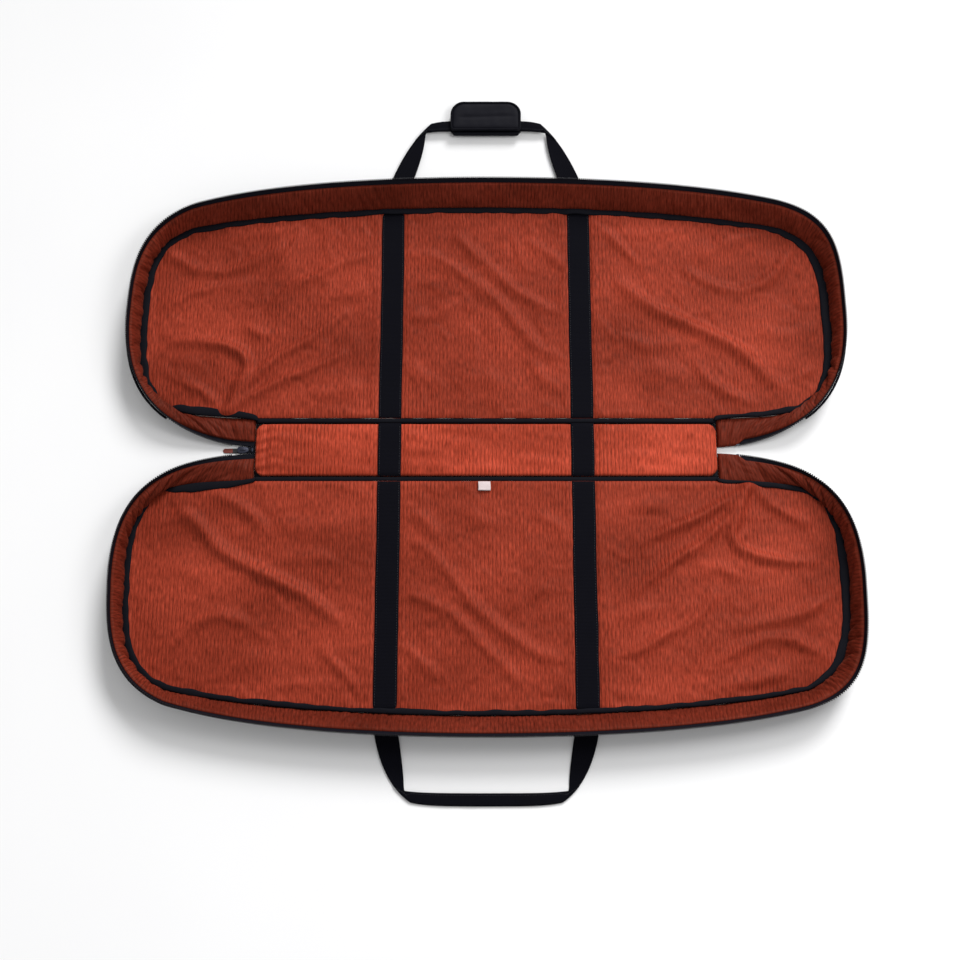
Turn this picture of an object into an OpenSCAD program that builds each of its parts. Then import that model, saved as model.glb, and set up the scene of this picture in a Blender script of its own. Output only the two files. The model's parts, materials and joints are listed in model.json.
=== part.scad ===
// Padded board bag, lying open on the floor.
// Two half trays, the base (towards +Y) and the lid (towards -Y), fold out from a flat spine panel.
// A zip runs round both rims, from one end of the spine to the other.
// Lengths are in millimetres.  X runs along the bag, Z is up and the floor is at Z = 0.

/* [Bag] */
// Length over the zip rims
bag_length = 1200; // [1060:10:1400]
// Distance from the middle of the spine to the zip rim of either half
half_width = 477; // [430:1:560]
// Width of the spine, which is the depth of the closed bag
spine_width = 100; // [80:1:140]
// Length of the spine, between the two ends of the zip
spine_length = 762; // [640:2:840]
// How far the long walls lean outwards
side_lean = 36; // [25:1:42]
// How far the end walls lean outwards
end_lean = 14; // [10:1:20]

/* [Layers] */
// Thickness of the outer fabric
shell_t = 1.2; // [0.8:0.1:2]
// Thickness of the foam in the panels
panel_foam_t = 5; // [3:0.5:6]
// Thickness of the foam in the walls
wall_foam_t = 2.6; // [2:0.1:4]
// Thickness of the lining
lining_t = 0.8; // [0.5:0.1:1.2]
// Air left between layers that are not face to face
layer_gap = 0.2; // [0.1:0.05:0.4]

/* [Webbing] */
// Width of the webbing
webbing_w = 38; // [30:1:50]
// Thickness of the carrying webbing outside
webbing_t = 2; // [1.2:0.1:3]
// Thickness of the flat webbing on the lining
inner_webbing_t = 1.6; // [1:0.1:2]
// Distance between the centres of the two webbing lines
webbing_spacing = 318; // [260:2:400]

/* [Piping and zip] */
// Diameter of the piping sewn in round the panels
piping_d = 6; // [4:0.5:7]
// Diameter of the piping along the two folds
fold_piping_d = 6.6; // [5:0.2:7]
// Diameter of the piping outside the rims
rim_piping_d = 4; // [3:0.5:5]
// Width of one zip tape beyond the fabric
zip_tape_w = 8; // [6:0.5:12]
// Thickness of the zip tape
zip_tape_t = 1; // [0.6:0.1:1.4]
// Width of one row of zip teeth
teeth_w = 2.6; // [2:0.1:3.4]
// Thickness of the zip teeth
teeth_t = 3; // [2.4:0.1:3.6]

/* [Handles] */
// Reach of the base handle from its hem
base_handle_reach = 157; // [130:1:190]
// How far the base handle's legs lean in
base_handle_lean = 34; // [20:1:45]
// Reach of the lid handle from its hem
lid_handle_reach = 125; // [100:1:150]
// How far the lid handle's legs lean in
lid_handle_lean = 12; // [5:1:30]
// Width of the folded webbing of a handle's bar
handle_bar_w = 20; // [18:1:24]
// Thickness of the folded webbing of a handle
handle_t = 4.4; // [3:0.2:6]
// Length of the padded grip
grip_length = 124; // [100:2:150]
// Depth of the padded grip
grip_depth = 56; // [50:1:70]
// Thickness of one padded leaf of the grip
grip_leaf_t = 7; // [5:0.5:9]

/* [Hidden] */

RUST = [0.56, 0.22, 0.15];
BLACK = [0.07, 0.07, 0.09];
FOAM = [0.75, 0.75, 0.72];
METAL = [0.16, 0.16, 0.18];
WHITE = [0.92, 0.9, 0.9];

// Heights of the layers above the floor
shell_z = webbing_t;
foam_z = shell_z + shell_t;
lining_z = foam_z + panel_foam_t;
lining_top = lining_z + lining_t;
wall_t = lining_t + layer_gap + wall_foam_t + layer_gap + shell_t;

// The two folds, one on each side of the spine, are on an axis half way through the panels
fold_y = spine_width / 2;
fold_z = (shell_z + lining_top) / 2;
fold_clear = (lining_top - shell_z) / 2 + 0.3;
strap_clear = lining_top + inner_webbing_t - fold_z + 0.5;

// The wall's inner face starts at wall_z beside the panel and ends at the zip's middle plane
wall_z = shell_z + wall_t + 0.2;
closed_gap = 1;
rim_z = fold_z + fold_y - closed_gap / 2;
rim_start_y = teeth_t + 1;
spine_end_gap = 1.5;

// Half lengths and widths of the two outlines that the walls join
rim_x = bag_length / 2 - wall_t;
rim_y = half_width - wall_t;
panel_x = rim_x - end_lean;
panel_y = rim_y - side_lean;
spine_x = spine_length / 2;

// The ends are widest at end_middle_y.  The shoulder is where an end turns into the long side.
end_middle_y = 240;
rim_shoulder = [97, 44];
panel_shoulder = [75, 40];

// Steps along each of the three curves that make up a quarter of the outline
STEPS = [9, 8, 6];

function bezier(p, t) =
    pow(1 - t, 3) * p[0] + 3 * pow(1 - t, 2) * t * p[1] + 3 * (1 - t) * t * t * p[2] + pow(t, 3) * p[3];

// From the spine's end to the widest place of the bag's end.  The corner is squarer with a larger
// reach, which is a part of the way that the bag's end stands out beyond the spine's.
function near_curve(start_y, x, reach, corner_y) =
    [[spine_x + spine_end_gap, start_y], [spine_x + reach * (x - spine_x), start_y + 5],
        [x + 0.035 * (panel_x - spine_x), corner_y], [x, end_middle_y]];

// Round the shoulder, and on to the middle of the long side
function shoulder_curve(x, y, shoulder, pull) =
    [[x, end_middle_y], [x, end_middle_y + 102],
        [x - pull, y - shoulder.y - 26], [x - shoulder.x, y - shoulder.y]];
function side_curve(x, y, shoulder) =
    [[x - shoulder.x, y - shoulder.y], [x - shoulder.x - 113, y - 14], [x / 3, y], [0, y]];

function quarter_outline(curves) = concat(
    [for (c = [0:2]) for (i = [0:STEPS[c] - 1]) bezier(curves[c], i / STEPS[c])],
    [curves[2][3]]
);

function mirrored_x(path) =
    concat(path, [for (i = [len(path) - 2:-1:0]) [-path[i].x, path[i].y]]);

panel_outline = mirrored_x(quarter_outline([
    near_curve(fold_y + fold_clear, panel_x, 170 / 200, fold_y + 12),
    shoulder_curve(panel_x, panel_y, panel_shoulder, 20),
    side_curve(panel_x, panel_y, panel_shoulder)]));
rim_outline = mirrored_x(quarter_outline([
    near_curve(rim_start_y, rim_x, 105 / 214, fold_y + 12),
    shoulder_curve(rim_x, rim_y, rim_shoulder, 8),
    side_curve(rim_x, rim_y, rim_shoulder)]));

last = len(rim_outline) - 1;
first_zip = 1;
first_piping = 4;

// The wall lies flat where it meets the spine and stands up as it turns the corner
function steps_from_spine(k) = min(k, last - k);
function rim_height(k) =
    wall_z + (rim_z - wall_z) * (1 - cos(180 * min(steps_from_spine(k) / (STEPS[0] * 0.8), 1))) / 2;

function unit(v) = v / norm(v);
function tangent(path, k) =
    unit(path[min(k + 1, last)] - path[max(k - 1, 0)]);

function wall_foot(k) =
    let (t = tangent(panel_outline, k), p = panel_outline[k] + 0.3 * [t.y, -t.x]) [p.x, p.y, wall_z];
function wall_head(k) = [rim_outline[k].x, rim_outline[k].y, rim_height(k)];
function wall_up(k) = unit(wall_head(k) - wall_foot(k));
function wall_out(k) =
    let (t = tangent(rim_outline, k)) unit(cross([t.x, t.y, 0], wall_up(k)));
function wall_length(k) = norm(wall_head(k) - wall_foot(k));

// A point of the wall: down from its head along the slope, and out from its inner face
function wall_point(k, down, out) = wall_head(k) - down * wall_up(k) + out * wall_out(k);

// Skin over rings that have the same number of points, closed at both ends.  The diagonals of the
// two sides of a strip run the same way, so that strips lie flat on each other.
module skin(rings) {
    m = len(rings[0]);
    n = len(rings);
    sides = [for (i = [0:n - 2]) for (j = [0:m - 1])
        let (a = i * m + j, b = i * m + (j + 1) % m)
            each (j < m / 2 ? [[a, b, b + m], [a, b + m, a + m]] : [[a, b, a + m], [b, b + m, a + m]])];
    caps = [for (j = [1:m - 2]) each [[0, j + 1, j], [(n - 1) * m, (n - 1) * m + j, (n - 1) * m + j + 1]]];
    polyhedron(points = [for (r = rings) each r], faces = concat(sides, caps));
}

// A strip of the wall between two depths, from slope length top down to bottom
module wall_strip(top, bottom, inner, outer, from, to) {
    skin([for (k = [from:to])
        let (low = bottom < 0 ? wall_length(k) : bottom)
        [wall_point(k, top, inner), wall_point(k, low, inner),
            wall_point(k, low, outer), wall_point(k, top, outer)]]);
}

TO_FOOT = -1;
fabric_top = teeth_w + zip_tape_w + 2 * layer_gap;

module wall_layer(inner, thickness) {
    wall_strip(fabric_top, TO_FOOT, inner, inner + thickness, 0, last);
}

module tube_on_wall(down, out, diameter, from, to) {
    sides = 8;
    skin([for (k = [from:to]) [for (j = [0:sides - 1])
        let (a = 360 * j / sides, c = wall_point(k, down, out))
        c + diameter / 2 * (cos(a) * wall_out(k) + sin(a) * wall_up(k))]]);
}

module half_panel(z, thickness) {
    translate([0, 0, z]) linear_extrude(thickness) polygon(panel_outline);
}

module panel_piping() {
    sides = 8;
    r = piping_d / 2;
    skin([for (k = [0:last])
        let (t = tangent(panel_outline, k), out = [t.y, -t.x, 0],
            c = [panel_outline[k].x, panel_outline[k].y, lining_top + r + layer_gap] - r * out)
        [for (j = [0:sides - 1]) c + r * (cos(360 * j / sides) * out + [0, 0, sin(360 * j / sides)])]]);
}

module fold_piping() {
    translate([0, fold_y, fold_z]) rotate([0, 90, 0])
        cylinder(h = spine_length, d = fold_piping_d, center = true, $fn = 48);
}

module zip_top_stop() {
    stop = 5;
    p = wall_point(first_zip, teeth_w / 2, (wall_t - teeth_t) / 2);
    translate([p.x - stop - 0.6, p.y - teeth_w / 2, p.z - teeth_t]) cube([stop, teeth_w, teeth_t]);
}

// Webbing laid across a panel, from one y to another
module strap(side, z, thickness, from_y, to_y) {
    translate([side * webbing_spacing / 2 - webbing_w / 2, from_y, z])
        cube([webbing_w, to_y - from_y, thickness]);
}

// The straps stop short of the piping, where the panel's far edge crosses their outer edges
far_edge = [for (k = [STEPS[0] + STEPS[1]:STEPS[0] + STEPS[1] + STEPS[2]])
    [panel_outline[k].x, panel_outline[k].y]];
inner_strap_end = lookup(webbing_spacing / 2 + webbing_w / 2, far_edge) - piping_d;
hem_y = panel_y + wall_t + 8;

module inner_strap(side) {
    strap(side, lining_top, inner_webbing_t, fold_y + strap_clear, inner_strap_end);
}

module carry_strap(side) {
    strap(side, 0, webbing_t, fold_y + strap_clear, hem_y);
}

// A handle lies flat: two legs as wide as the webbing, which lean in by lean and turn into a bar
// of folded webbing.  These are the inner and outer edges from a leg's foot to the bar's middle.
function leg_edges(reach, lean, t) =
    let (in_x = webbing_spacing / 2 - webbing_w / 2, out_x = in_x + webbing_w,
        bar = reach - handle_bar_w, turn_x = in_x - lean)
    t < 0.5
        ? [bezier([[in_x, 0], [in_x - lean / 2, bar * 0.4], [turn_x, bar * 0.7], [turn_x, bar - 4]], t * 2),
           bezier([[out_x, 0], [out_x - lean / 2, reach * 0.38], [turn_x + 26, reach * 0.76],
               [turn_x - 10, reach - 6]], t * 2)]
        : [bezier([[turn_x, bar - 4], [turn_x - 26, bar], [turn_x / 3, bar], [0, bar]], t * 2 - 1),
           bezier([[turn_x - 10, reach - 6], [turn_x - 34, reach], [turn_x / 3, reach], [0, reach]], t * 2 - 1)];

module handle(reach, lean, rise) {
    steps = 12;
    half = [for (i = [0:steps])
        let (e = leg_edges(reach, lean, i / steps), z = layer_gap + rise * min(1, i * 1.6 / steps))
            [e[0], e[1], z]];
    whole = concat(half, [for (i = [steps - 1:-1:0])
        [[-half[i][0].x, half[i][0].y], [-half[i][1].x, half[i][1].y], half[i][2]]]);
    translate([0, hem_y + 0.3, 0])
        skin([for (s = whole)
            [[s[0].x, s[0].y, s[2]], [s[1].x, s[1].y, s[2]],
                [s[1].x, s[1].y, s[2] + handle_t], [s[0].x, s[0].y, s[2] + handle_t]]]);
}

// The grip is a padded flap folded round the base handle's bar, with its fold towards the bag
grip_rise = grip_leaf_t + 0.6;
grip_y = hem_y + base_handle_reach - handle_bar_w - 3;
grip_corner = 24;

module grip_shape(inset) {
    w = grip_length / 2 - inset;
    d = grip_depth - inset;
    r = grip_corner - inset;
    translate([-w, inset]) square([2 * w, d - r - inset]);
    translate([-(w - r), inset]) square([2 * (w - r), d - inset]);
    for (side = [-1, 1]) translate([side * (w - r), d - r]) circle(r, $fn = 48);
}

trim_w = 4;
back_leaf_z = 2 * layer_gap;
front_leaf_z = layer_gap + grip_rise + handle_t + layer_gap;

module grip_leaf(z) {
    translate([0, grip_y, z]) linear_extrude(grip_leaf_t) grip_shape(trim_w + layer_gap);
}

module grip_trim(z) {
    translate([0, grip_y, z]) linear_extrude(grip_leaf_t) difference() {
        grip_shape(0);
        grip_shape(trim_w);
    }
}

// Each patch fills half of the space that the bar's webbing leaves between the two leaves
patch_t = handle_t / 2 - layer_gap;
module grip_patch(z) {
    from_y = grip_y + handle_bar_w + 10;
    patch_w = grip_length - 40;
    patch_d = grip_y + grip_depth - trim_w - 8 - from_y;
    translate([-patch_w / 2, from_y, z]) cube([patch_w, patch_d, patch_t]);
}

// The flap turns about the middle of the fold binding
grip_fold_r = 3.4;
grip_fold_y = grip_y - grip_fold_r + 0.2;
grip_fold_z = (back_leaf_z + grip_leaf_t + front_leaf_z) / 2;

spine_half = fold_y - fold_clear;
module spine_layer(z, thickness) {
    translate([-spine_x, -spine_half, z]) cube([spine_length, 2 * spine_half, thickness]);
}

module spine_strap(side, z, thickness) {
    strap(side, z, thickness, -(fold_y - strap_clear), fold_y - strap_clear);
}

// The joined end of the zip lies beside the spine's left end, half way through the wall
closed_end_l = 16;
closed_end_x = -spine_x - 0.3 - closed_end_l;
chain_z = wall_z - wall_t / 2;

// The slider's two plates have the chain between them, and a bridge joins them at the mouth
slider_size = [19, 11];
slider_plate_t = 1.2;
slider_gap = teeth_t + 0.8;
slider_grip = 6;
slider_x = closed_end_x + slider_grip - slider_size.x;

pull_length = 34;
pull_w = 8;
pull_t = 1.1;
pull_eye = 5;
pull_x = slider_x + slider_size.x / 2;

module lid_half() { mirror([0, 1, 0]) children(); }

// Puts the middle of the open bag's outline, handles included, over the origin
centre_y = (hem_y + 0.3 + lid_handle_reach - (grip_y + grip_depth)) / 2;
module placed() { translate([0, centre_y, 0]) children(); }

shell_in = lining_t + layer_gap + wall_foam_t + layer_gap;
foam_in = lining_t + layer_gap;
tape_in = (wall_t - zip_tape_t) / 2;
teeth_in = (wall_t - teeth_t) / 2;

module rim_piping() {
    tube_on_wall(fabric_top + 3, wall_t + rim_piping_d / 2 + 0.4, rim_piping_d,
        first_piping, last - first_piping);
}

module zip_tape() {
    wall_strip(teeth_w + layer_gap, teeth_w + layer_gap + zip_tape_w, tape_in,
        tape_in + zip_tape_t, first_zip, last - first_zip);
}

module zip_teeth() {
    wall_strip(0, teeth_w, teeth_in, teeth_in + teeth_t, first_zip, last - first_zip);
}

// Base half
module base_outer_panel() { color(BLACK) half_panel(shell_z, shell_t); }
module base_panel_foam() { color(FOAM) half_panel(foam_z, panel_foam_t); }
module base_panel_lining() { color(RUST) half_panel(lining_z, lining_t); }
module base_outer_wall() { color(BLACK) wall_layer(shell_in, shell_t); }
module base_wall_foam() { color(FOAM) wall_layer(foam_in, wall_foam_t); }
module base_wall_lining() { color(RUST) wall_layer(0, lining_t); }
module base_panel_piping() { color(BLACK) panel_piping(); }
module base_fold_piping() { color(BLACK) fold_piping(); }
module base_rim_piping() { color(BLACK) rim_piping(); }
module base_zip_tape() { color(BLACK) zip_tape(); }
module base_zip_teeth() { color(BLACK) zip_teeth(); }
module base_zip_top_stop() { color(METAL) zip_top_stop(); }
module base_inner_strap_left() { color(BLACK) inner_strap(-1); }
module base_inner_strap_right() { color(BLACK) inner_strap(1); }
module base_carry_strap_left() { color(BLACK) carry_strap(-1); }
module base_carry_strap_right() { color(BLACK) carry_strap(1); }

// Base handle and its padded grip
module base_handle_webbing() { color(BLACK) handle(base_handle_reach, base_handle_lean, grip_rise); }
module grip_back_leaf() { color(BLACK) grip_leaf(back_leaf_z); }
module grip_back_trim() { color(BLACK) grip_trim(back_leaf_z); }
module grip_hook_patch() { color(BLACK) grip_patch(back_leaf_z + grip_leaf_t + layer_gap); }
module grip_fold_binding() {
    color(BLACK) translate([0, grip_fold_y, grip_fold_z]) rotate([0, 90, 0])
        cylinder(h = grip_length - 8, r = grip_fold_r, center = true, $fn = 48);
}
module grip_front_leaf() { color(BLACK) grip_leaf(front_leaf_z); }
module grip_front_trim() { color(BLACK) grip_trim(front_leaf_z); }
module grip_loop_patch() { color(BLACK) grip_patch(front_leaf_z - layer_gap - patch_t); }

// Spine
module spine_outer_panel() { color(BLACK) spine_layer(shell_z, shell_t); }
module spine_foam() { color(FOAM) spine_layer(foam_z, panel_foam_t); }
module spine_lining() { color(RUST) spine_layer(lining_z, lining_t); }
module spine_inner_strap_left() { color(BLACK) spine_strap(-1, lining_top, inner_webbing_t); }
module spine_inner_strap_right() { color(BLACK) spine_strap(1, lining_top, inner_webbing_t); }
module spine_carry_strap_left() { color(BLACK) spine_strap(-1, 0, webbing_t); }
module spine_carry_strap_right() { color(BLACK) spine_strap(1, 0, webbing_t); }

// Zip, where its two sides are joined
module zip_closed_end() {
    w = 2 * (rim_start_y - 0.4);
    color(BLACK) translate([closed_end_x, -w / 2, chain_z - teeth_t / 2])
        cube([closed_end_l, w, teeth_t]);
}

module zip_bottom_stop() {
    stop = [3, 2 * teeth_w + 1, 1.4];
    color(METAL) translate([-spine_x - 6, -stop.y / 2, chain_z + teeth_t / 2 + 0.1]) cube(stop);
}

module zip_slider() {
    height = slider_gap + 2 * slider_plate_t;
    color(METAL) translate([slider_x, -slider_size.y / 2, chain_z - height / 2]) {
        cube([slider_size.x, slider_size.y, slider_plate_t]);
        translate([0, 0, height - slider_plate_t])
            cube([slider_size.x, slider_size.y, slider_plate_t]);
        translate([0, slider_size.y / 2 - 1, 0]) cube([3, 2, height]);
    }
}

module zip_pull() {
    color(RUST) translate([pull_x, 0, layer_gap / 2]) difference() {
        translate([-pull_length, -pull_w / 2, 0]) cube([pull_length, pull_w, pull_t]);
        translate([-pull_eye, 0, -1]) cylinder(h = pull_t + 2, d = 4, $fn = 32);
    }
}

// Lid half
module lid_outer_panel() { lid_half() color(BLACK) half_panel(shell_z, shell_t); }
module lid_panel_foam() { lid_half() color(FOAM) half_panel(foam_z, panel_foam_t); }
module lid_panel_lining() { lid_half() color(RUST) half_panel(lining_z, lining_t); }
module lid_outer_wall() { lid_half() color(BLACK) wall_layer(shell_in, shell_t); }
module lid_wall_foam() { lid_half() color(FOAM) wall_layer(foam_in, wall_foam_t); }
module lid_wall_lining() { lid_half() color(RUST) wall_layer(0, lining_t); }
module lid_panel_piping() { lid_half() color(BLACK) panel_piping(); }
module lid_fold_piping() { lid_half() color(BLACK) fold_piping(); }
module lid_rim_piping() { lid_half() color(BLACK) rim_piping(); }
module lid_zip_tape() { lid_half() color(BLACK) zip_tape(); }
module lid_zip_teeth() { lid_half() color(BLACK) zip_teeth(); }
module lid_zip_top_stop() { lid_half() color(METAL) zip_top_stop(); }
module lid_inner_strap_left() { lid_half() color(BLACK) inner_strap(-1); }
module lid_inner_strap_right() { lid_half() color(BLACK) inner_strap(1); }
module lid_carry_strap_left() { lid_half() color(BLACK) carry_strap(-1); }
module lid_carry_strap_right() { lid_half() color(BLACK) carry_strap(1); }
module lid_handle_webbing() { lid_half() color(BLACK) handle(lid_handle_reach, lid_handle_lean, 0); }
module care_label() {
    label = [20, 15, 0.5];
    color(WHITE) translate([-3 - label.x / 2, -(fold_y + fold_clear + 1 + label.y), lining_top + 0.1])
        cube(label);
}

placed() base_outer_panel();
placed() base_panel_foam();
placed() base_panel_lining();
placed() base_outer_wall();
placed() base_wall_foam();
placed() base_wall_lining();
placed() base_panel_piping();
placed() base_fold_piping();
placed() base_rim_piping();
placed() base_zip_tape();
placed() base_zip_teeth();
placed() base_zip_top_stop();
placed() base_inner_strap_left();
placed() base_inner_strap_right();
placed() base_carry_strap_left();
placed() base_carry_strap_right();
placed() base_handle_webbing();
placed() grip_back_leaf();
placed() grip_back_trim();
placed() grip_hook_patch();
placed() grip_fold_binding();
placed() grip_front_leaf();
placed() grip_front_trim();
placed() grip_loop_patch();
placed() spine_outer_panel();
placed() spine_foam();
placed() spine_lining();
placed() spine_inner_strap_left();
placed() spine_inner_strap_right();
placed() spine_carry_strap_left();
placed() spine_carry_strap_right();
placed() zip_closed_end();
placed() zip_bottom_stop();
placed() zip_slider();
placed() zip_pull();
placed() lid_outer_panel();
placed() lid_panel_foam();
placed() lid_panel_lining();
placed() lid_outer_wall();
placed() lid_wall_foam();
placed() lid_wall_lining();
placed() lid_panel_piping();
placed() lid_fold_piping();
placed() lid_rim_piping();
placed() lid_zip_tape();
placed() lid_zip_teeth();
placed() lid_zip_top_stop();
placed() lid_inner_strap_left();
placed() lid_inner_strap_right();
placed() lid_carry_strap_left();
placed() lid_carry_strap_right();
placed() lid_handle_webbing();
placed() care_label();
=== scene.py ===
import json
import math

import bmesh
import bpy
import numpy as np
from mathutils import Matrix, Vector


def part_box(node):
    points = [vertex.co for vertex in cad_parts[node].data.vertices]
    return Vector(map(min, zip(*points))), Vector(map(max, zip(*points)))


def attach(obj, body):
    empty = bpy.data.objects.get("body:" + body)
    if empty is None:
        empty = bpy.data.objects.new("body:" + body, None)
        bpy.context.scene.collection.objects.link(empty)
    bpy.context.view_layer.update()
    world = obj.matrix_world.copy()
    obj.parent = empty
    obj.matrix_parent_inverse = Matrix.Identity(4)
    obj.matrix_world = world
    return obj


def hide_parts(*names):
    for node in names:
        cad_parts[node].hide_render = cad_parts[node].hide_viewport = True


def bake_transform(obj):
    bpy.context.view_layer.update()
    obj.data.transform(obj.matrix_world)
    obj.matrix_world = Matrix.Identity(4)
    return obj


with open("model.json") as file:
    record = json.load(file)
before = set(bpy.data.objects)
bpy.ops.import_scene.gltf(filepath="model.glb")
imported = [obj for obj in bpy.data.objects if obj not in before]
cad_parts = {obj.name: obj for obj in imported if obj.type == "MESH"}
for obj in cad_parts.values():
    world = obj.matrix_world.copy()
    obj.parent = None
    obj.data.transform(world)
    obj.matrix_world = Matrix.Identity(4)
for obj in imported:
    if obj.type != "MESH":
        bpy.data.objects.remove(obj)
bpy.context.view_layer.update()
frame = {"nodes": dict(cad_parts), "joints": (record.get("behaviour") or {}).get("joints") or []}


# ---- The bag lies open on a pale floor ----------------------------------------------------------
# The camera stands nearly over the bag and a little in front of its lid, as one looks down at it.
# Soft light falls from behind it on the right, with a weak lamp over its right part and a white room.

def joint(name):
    return next(j for j in frame["joints"] if j["name"] == name)


FOLD_Z = joint("spine_fold")["pos_m"][2]
FOLD = (joint("spine_fold")["pos_m"][1] - joint("lid_fold")["pos_m"][1]) / 2
MIDDLE = (joint("spine_fold")["pos_m"][1] + joint("lid_fold")["pos_m"][1]) / 2

TARGET = Vector((-0.010, MIDDLE - 0.0497, 0.0))
DISTANCE = 2.382
TILT = math.radians(15.96)

camera = bpy.data.objects.new("camera", bpy.data.cameras.new("camera"))
bpy.context.scene.collection.objects.link(camera)
camera.data.sensor_width = 36.0
camera.data.lens = 54.34
camera.location = TARGET + DISTANCE * Vector((0, -math.sin(TILT), math.cos(TILT)))
camera.rotation_euler = (TILT, 0, 0)
bpy.context.scene.camera = camera
bpy.context.scene.view_settings.view_transform = "Standard"


def soft_lamp(name, place, size, power):
    lamp = bpy.data.objects.new(name, bpy.data.lights.new(name, "AREA"))
    bpy.context.scene.collection.objects.link(lamp)
    lamp.data.shape = "RECTANGLE"
    lamp.data.size, lamp.data.size_y = size
    lamp.data.energy = power
    lamp.location = place
    lamp.rotation_euler = (TARGET - Vector(place)).to_track_quat("-Z", "Y").to_euler()


window = bpy.data.objects.new("window_light", bpy.data.lights.new("window_light", "SUN"))
bpy.context.scene.collection.objects.link(window)
window.data.energy = 2.3
window.data.angle = math.radians(22)
window.rotation_euler = Vector((0.42, 1.0, 0.80)).to_track_quat("Z", "Y").to_euler()
soft_lamp("room_lamp", (0.85, 0.15, 1.4), (0.7, 0.7), 9)

room = bpy.data.worlds.new("room")
room.use_nodes = True
room.node_tree.nodes["Background"].inputs["Color"].default_value = (1.0, 1.0, 1.0, 1)
room.node_tree.nodes["Background"].inputs["Strength"].default_value = 0.48
bpy.context.scene.world = room


class Finish:
    """A material that is built up from nodes.  The map of each piece is in metres."""

    def __init__(self, name, roughness=0.8):
        self.material = bpy.data.materials.new(name)
        self.material.use_nodes = True
        self.tree = self.material.node_tree
        self.surface = self.tree.nodes["Principled BSDF"]
        self.surface.inputs["Roughness"].default_value = roughness
        self.place = self.tree.nodes.new("ShaderNodeTexCoord")

    def set(self, **values):
        for socket, value in values.items():
            self.surface.inputs[socket.replace("_", " ")].default_value = value
        return self

    def node(self, kind, inputs=(), **settings):
        made = self.tree.nodes.new("ShaderNode" + kind)
        for key, value in settings.items():
            setattr(made, key, value)
        for socket, value in dict(inputs).items():
            if isinstance(value, bpy.types.NodeSocket):
                self.tree.links.new(value, made.inputs[socket])
            else:
                made.inputs[socket].default_value = value
        return made

    def math(self, operation, a, b=0.0):
        return self.node("Math", {0: a, 1: b}, operation=operation).outputs[0]

    def noise(self, scale, detail=3.0, stretch=(1, 1, 1), where="UV"):
        spot = self.node("Mapping", {"Vector": self.place.outputs[where], "Scale": stretch})
        inputs = {"Vector": spot.outputs[0], "Scale": scale, "Detail": detail}
        return self.node("TexNoise", inputs).outputs["Fac"]

    def waves(self, axis, pitch, wobble=0.0):
        """A row of ribs, from 0 to 1, across one direction of the map."""
        axes = self.node("SeparateXYZ", {0: self.place.outputs["UV"]})
        along = self.math("MULTIPLY", axes.outputs[axis], 2 * math.pi / pitch)
        if wobble:
            along = self.math("ADD", along, self.math("MULTIPLY", self.noise(35, 2), wobble))
        return self.math("MULTIPLY", self.math("ADD", self.math("SINE", along), 1.0), 0.5)

    def ramp(self, fac, dark, light, low=0.0, high=1.0):
        made = self.node("ValToRGB", {"Fac": fac})
        made.color_ramp.elements[0].position, made.color_ramp.elements[1].position = low, high
        made.color_ramp.elements[0].color = (*dark, 1)
        made.color_ramp.elements[1].color = (*light, 1)
        return made.outputs["Color"]

    def blend(self, fac, a, b, kind="MIX"):
        return self.node("Mix", {0: fac, 6: a, 7: b}, data_type="RGBA", blend_type=kind).outputs[2]

    def colour(self, socket):
        self.tree.links.new(socket, self.surface.inputs["Base Color"])
        return self

    def rough(self, fac, low, high):
        spread = self.node("MapRange", {"Value": fac, "To Min": low, "To Max": high})
        self.tree.links.new(spread.outputs[0], self.surface.inputs["Roughness"])
        return self

    def bump(self, height, depth, strength=1.0):
        before = self.surface.inputs["Normal"].links
        made = self.node("Bump", {"Height": height, "Distance": depth, "Strength": strength})
        if before:
            self.tree.links.new(before[0].from_socket, made.inputs["Normal"])
        self.tree.links.new(made.outputs[0], self.surface.inputs["Normal"])
        return self


floor_finish = Finish("pale_floor", 0.9)
floor_cloud = floor_finish.noise(3, where="Object")
floor_finish.colour(floor_finish.ramp(floor_cloud, (0.93, 0.93, 0.94), (0.97, 0.97, 0.97)))
FLOOR_REACH = 9.0
FLOOR_TOP = -0.0006
floor_corners = [(x * FLOOR_REACH, y * FLOOR_REACH, FLOOR_TOP)
                 for x, y in ((-1, -1), (1, -1), (1, 1), (-1, 1))]
floor_mesh = bpy.data.meshes.new("floor")
floor_mesh.from_pydata(floor_corners, [], [(0, 1, 2, 3)])
floor_mesh.materials.append(floor_finish.material)
floor = bpy.data.objects.new("floor", floor_mesh)
bpy.context.scene.collection.objects.link(floor)


# ---- Outer fabric of the two halves and the spine ------------------------------------------------
# The outside is black polyester with a coarse plain weave, coated on its inner face.
# Each half is one panel cut with rounded ends.  The spine is a straight strip between the two.

SIDE = {"base": 1, "lid": -1}


def bezier(points, t):
    p = np.array(points, float)
    t = np.asarray(t)[:, None]
    return (1 - t) ** 3 * p[0] + 3 * (1 - t) ** 2 * t * p[1] + 3 * (1 - t) * t ** 2 * p[2] + t ** 3 * p[3]


SPINE_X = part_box("spine_lining")[1].x
PANEL_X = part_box("base_panel_lining")[1].x
PANEL_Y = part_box("base_panel_lining")[1].y - MIDDLE
PANEL_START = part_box("base_panel_lining")[0].y - MIDDLE
LINING_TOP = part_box("base_panel_lining")[1].z
END_MIDDLE = 0.240
CORNER_Y = FOLD + 0.012
# Steps of the design along the near corner, the shoulder and the long side, and how finely each is cut
STEPS = (9, 8, 6)
FINE = (18, 14, 36)
LAST = 2 * sum(STEPS)


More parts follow.
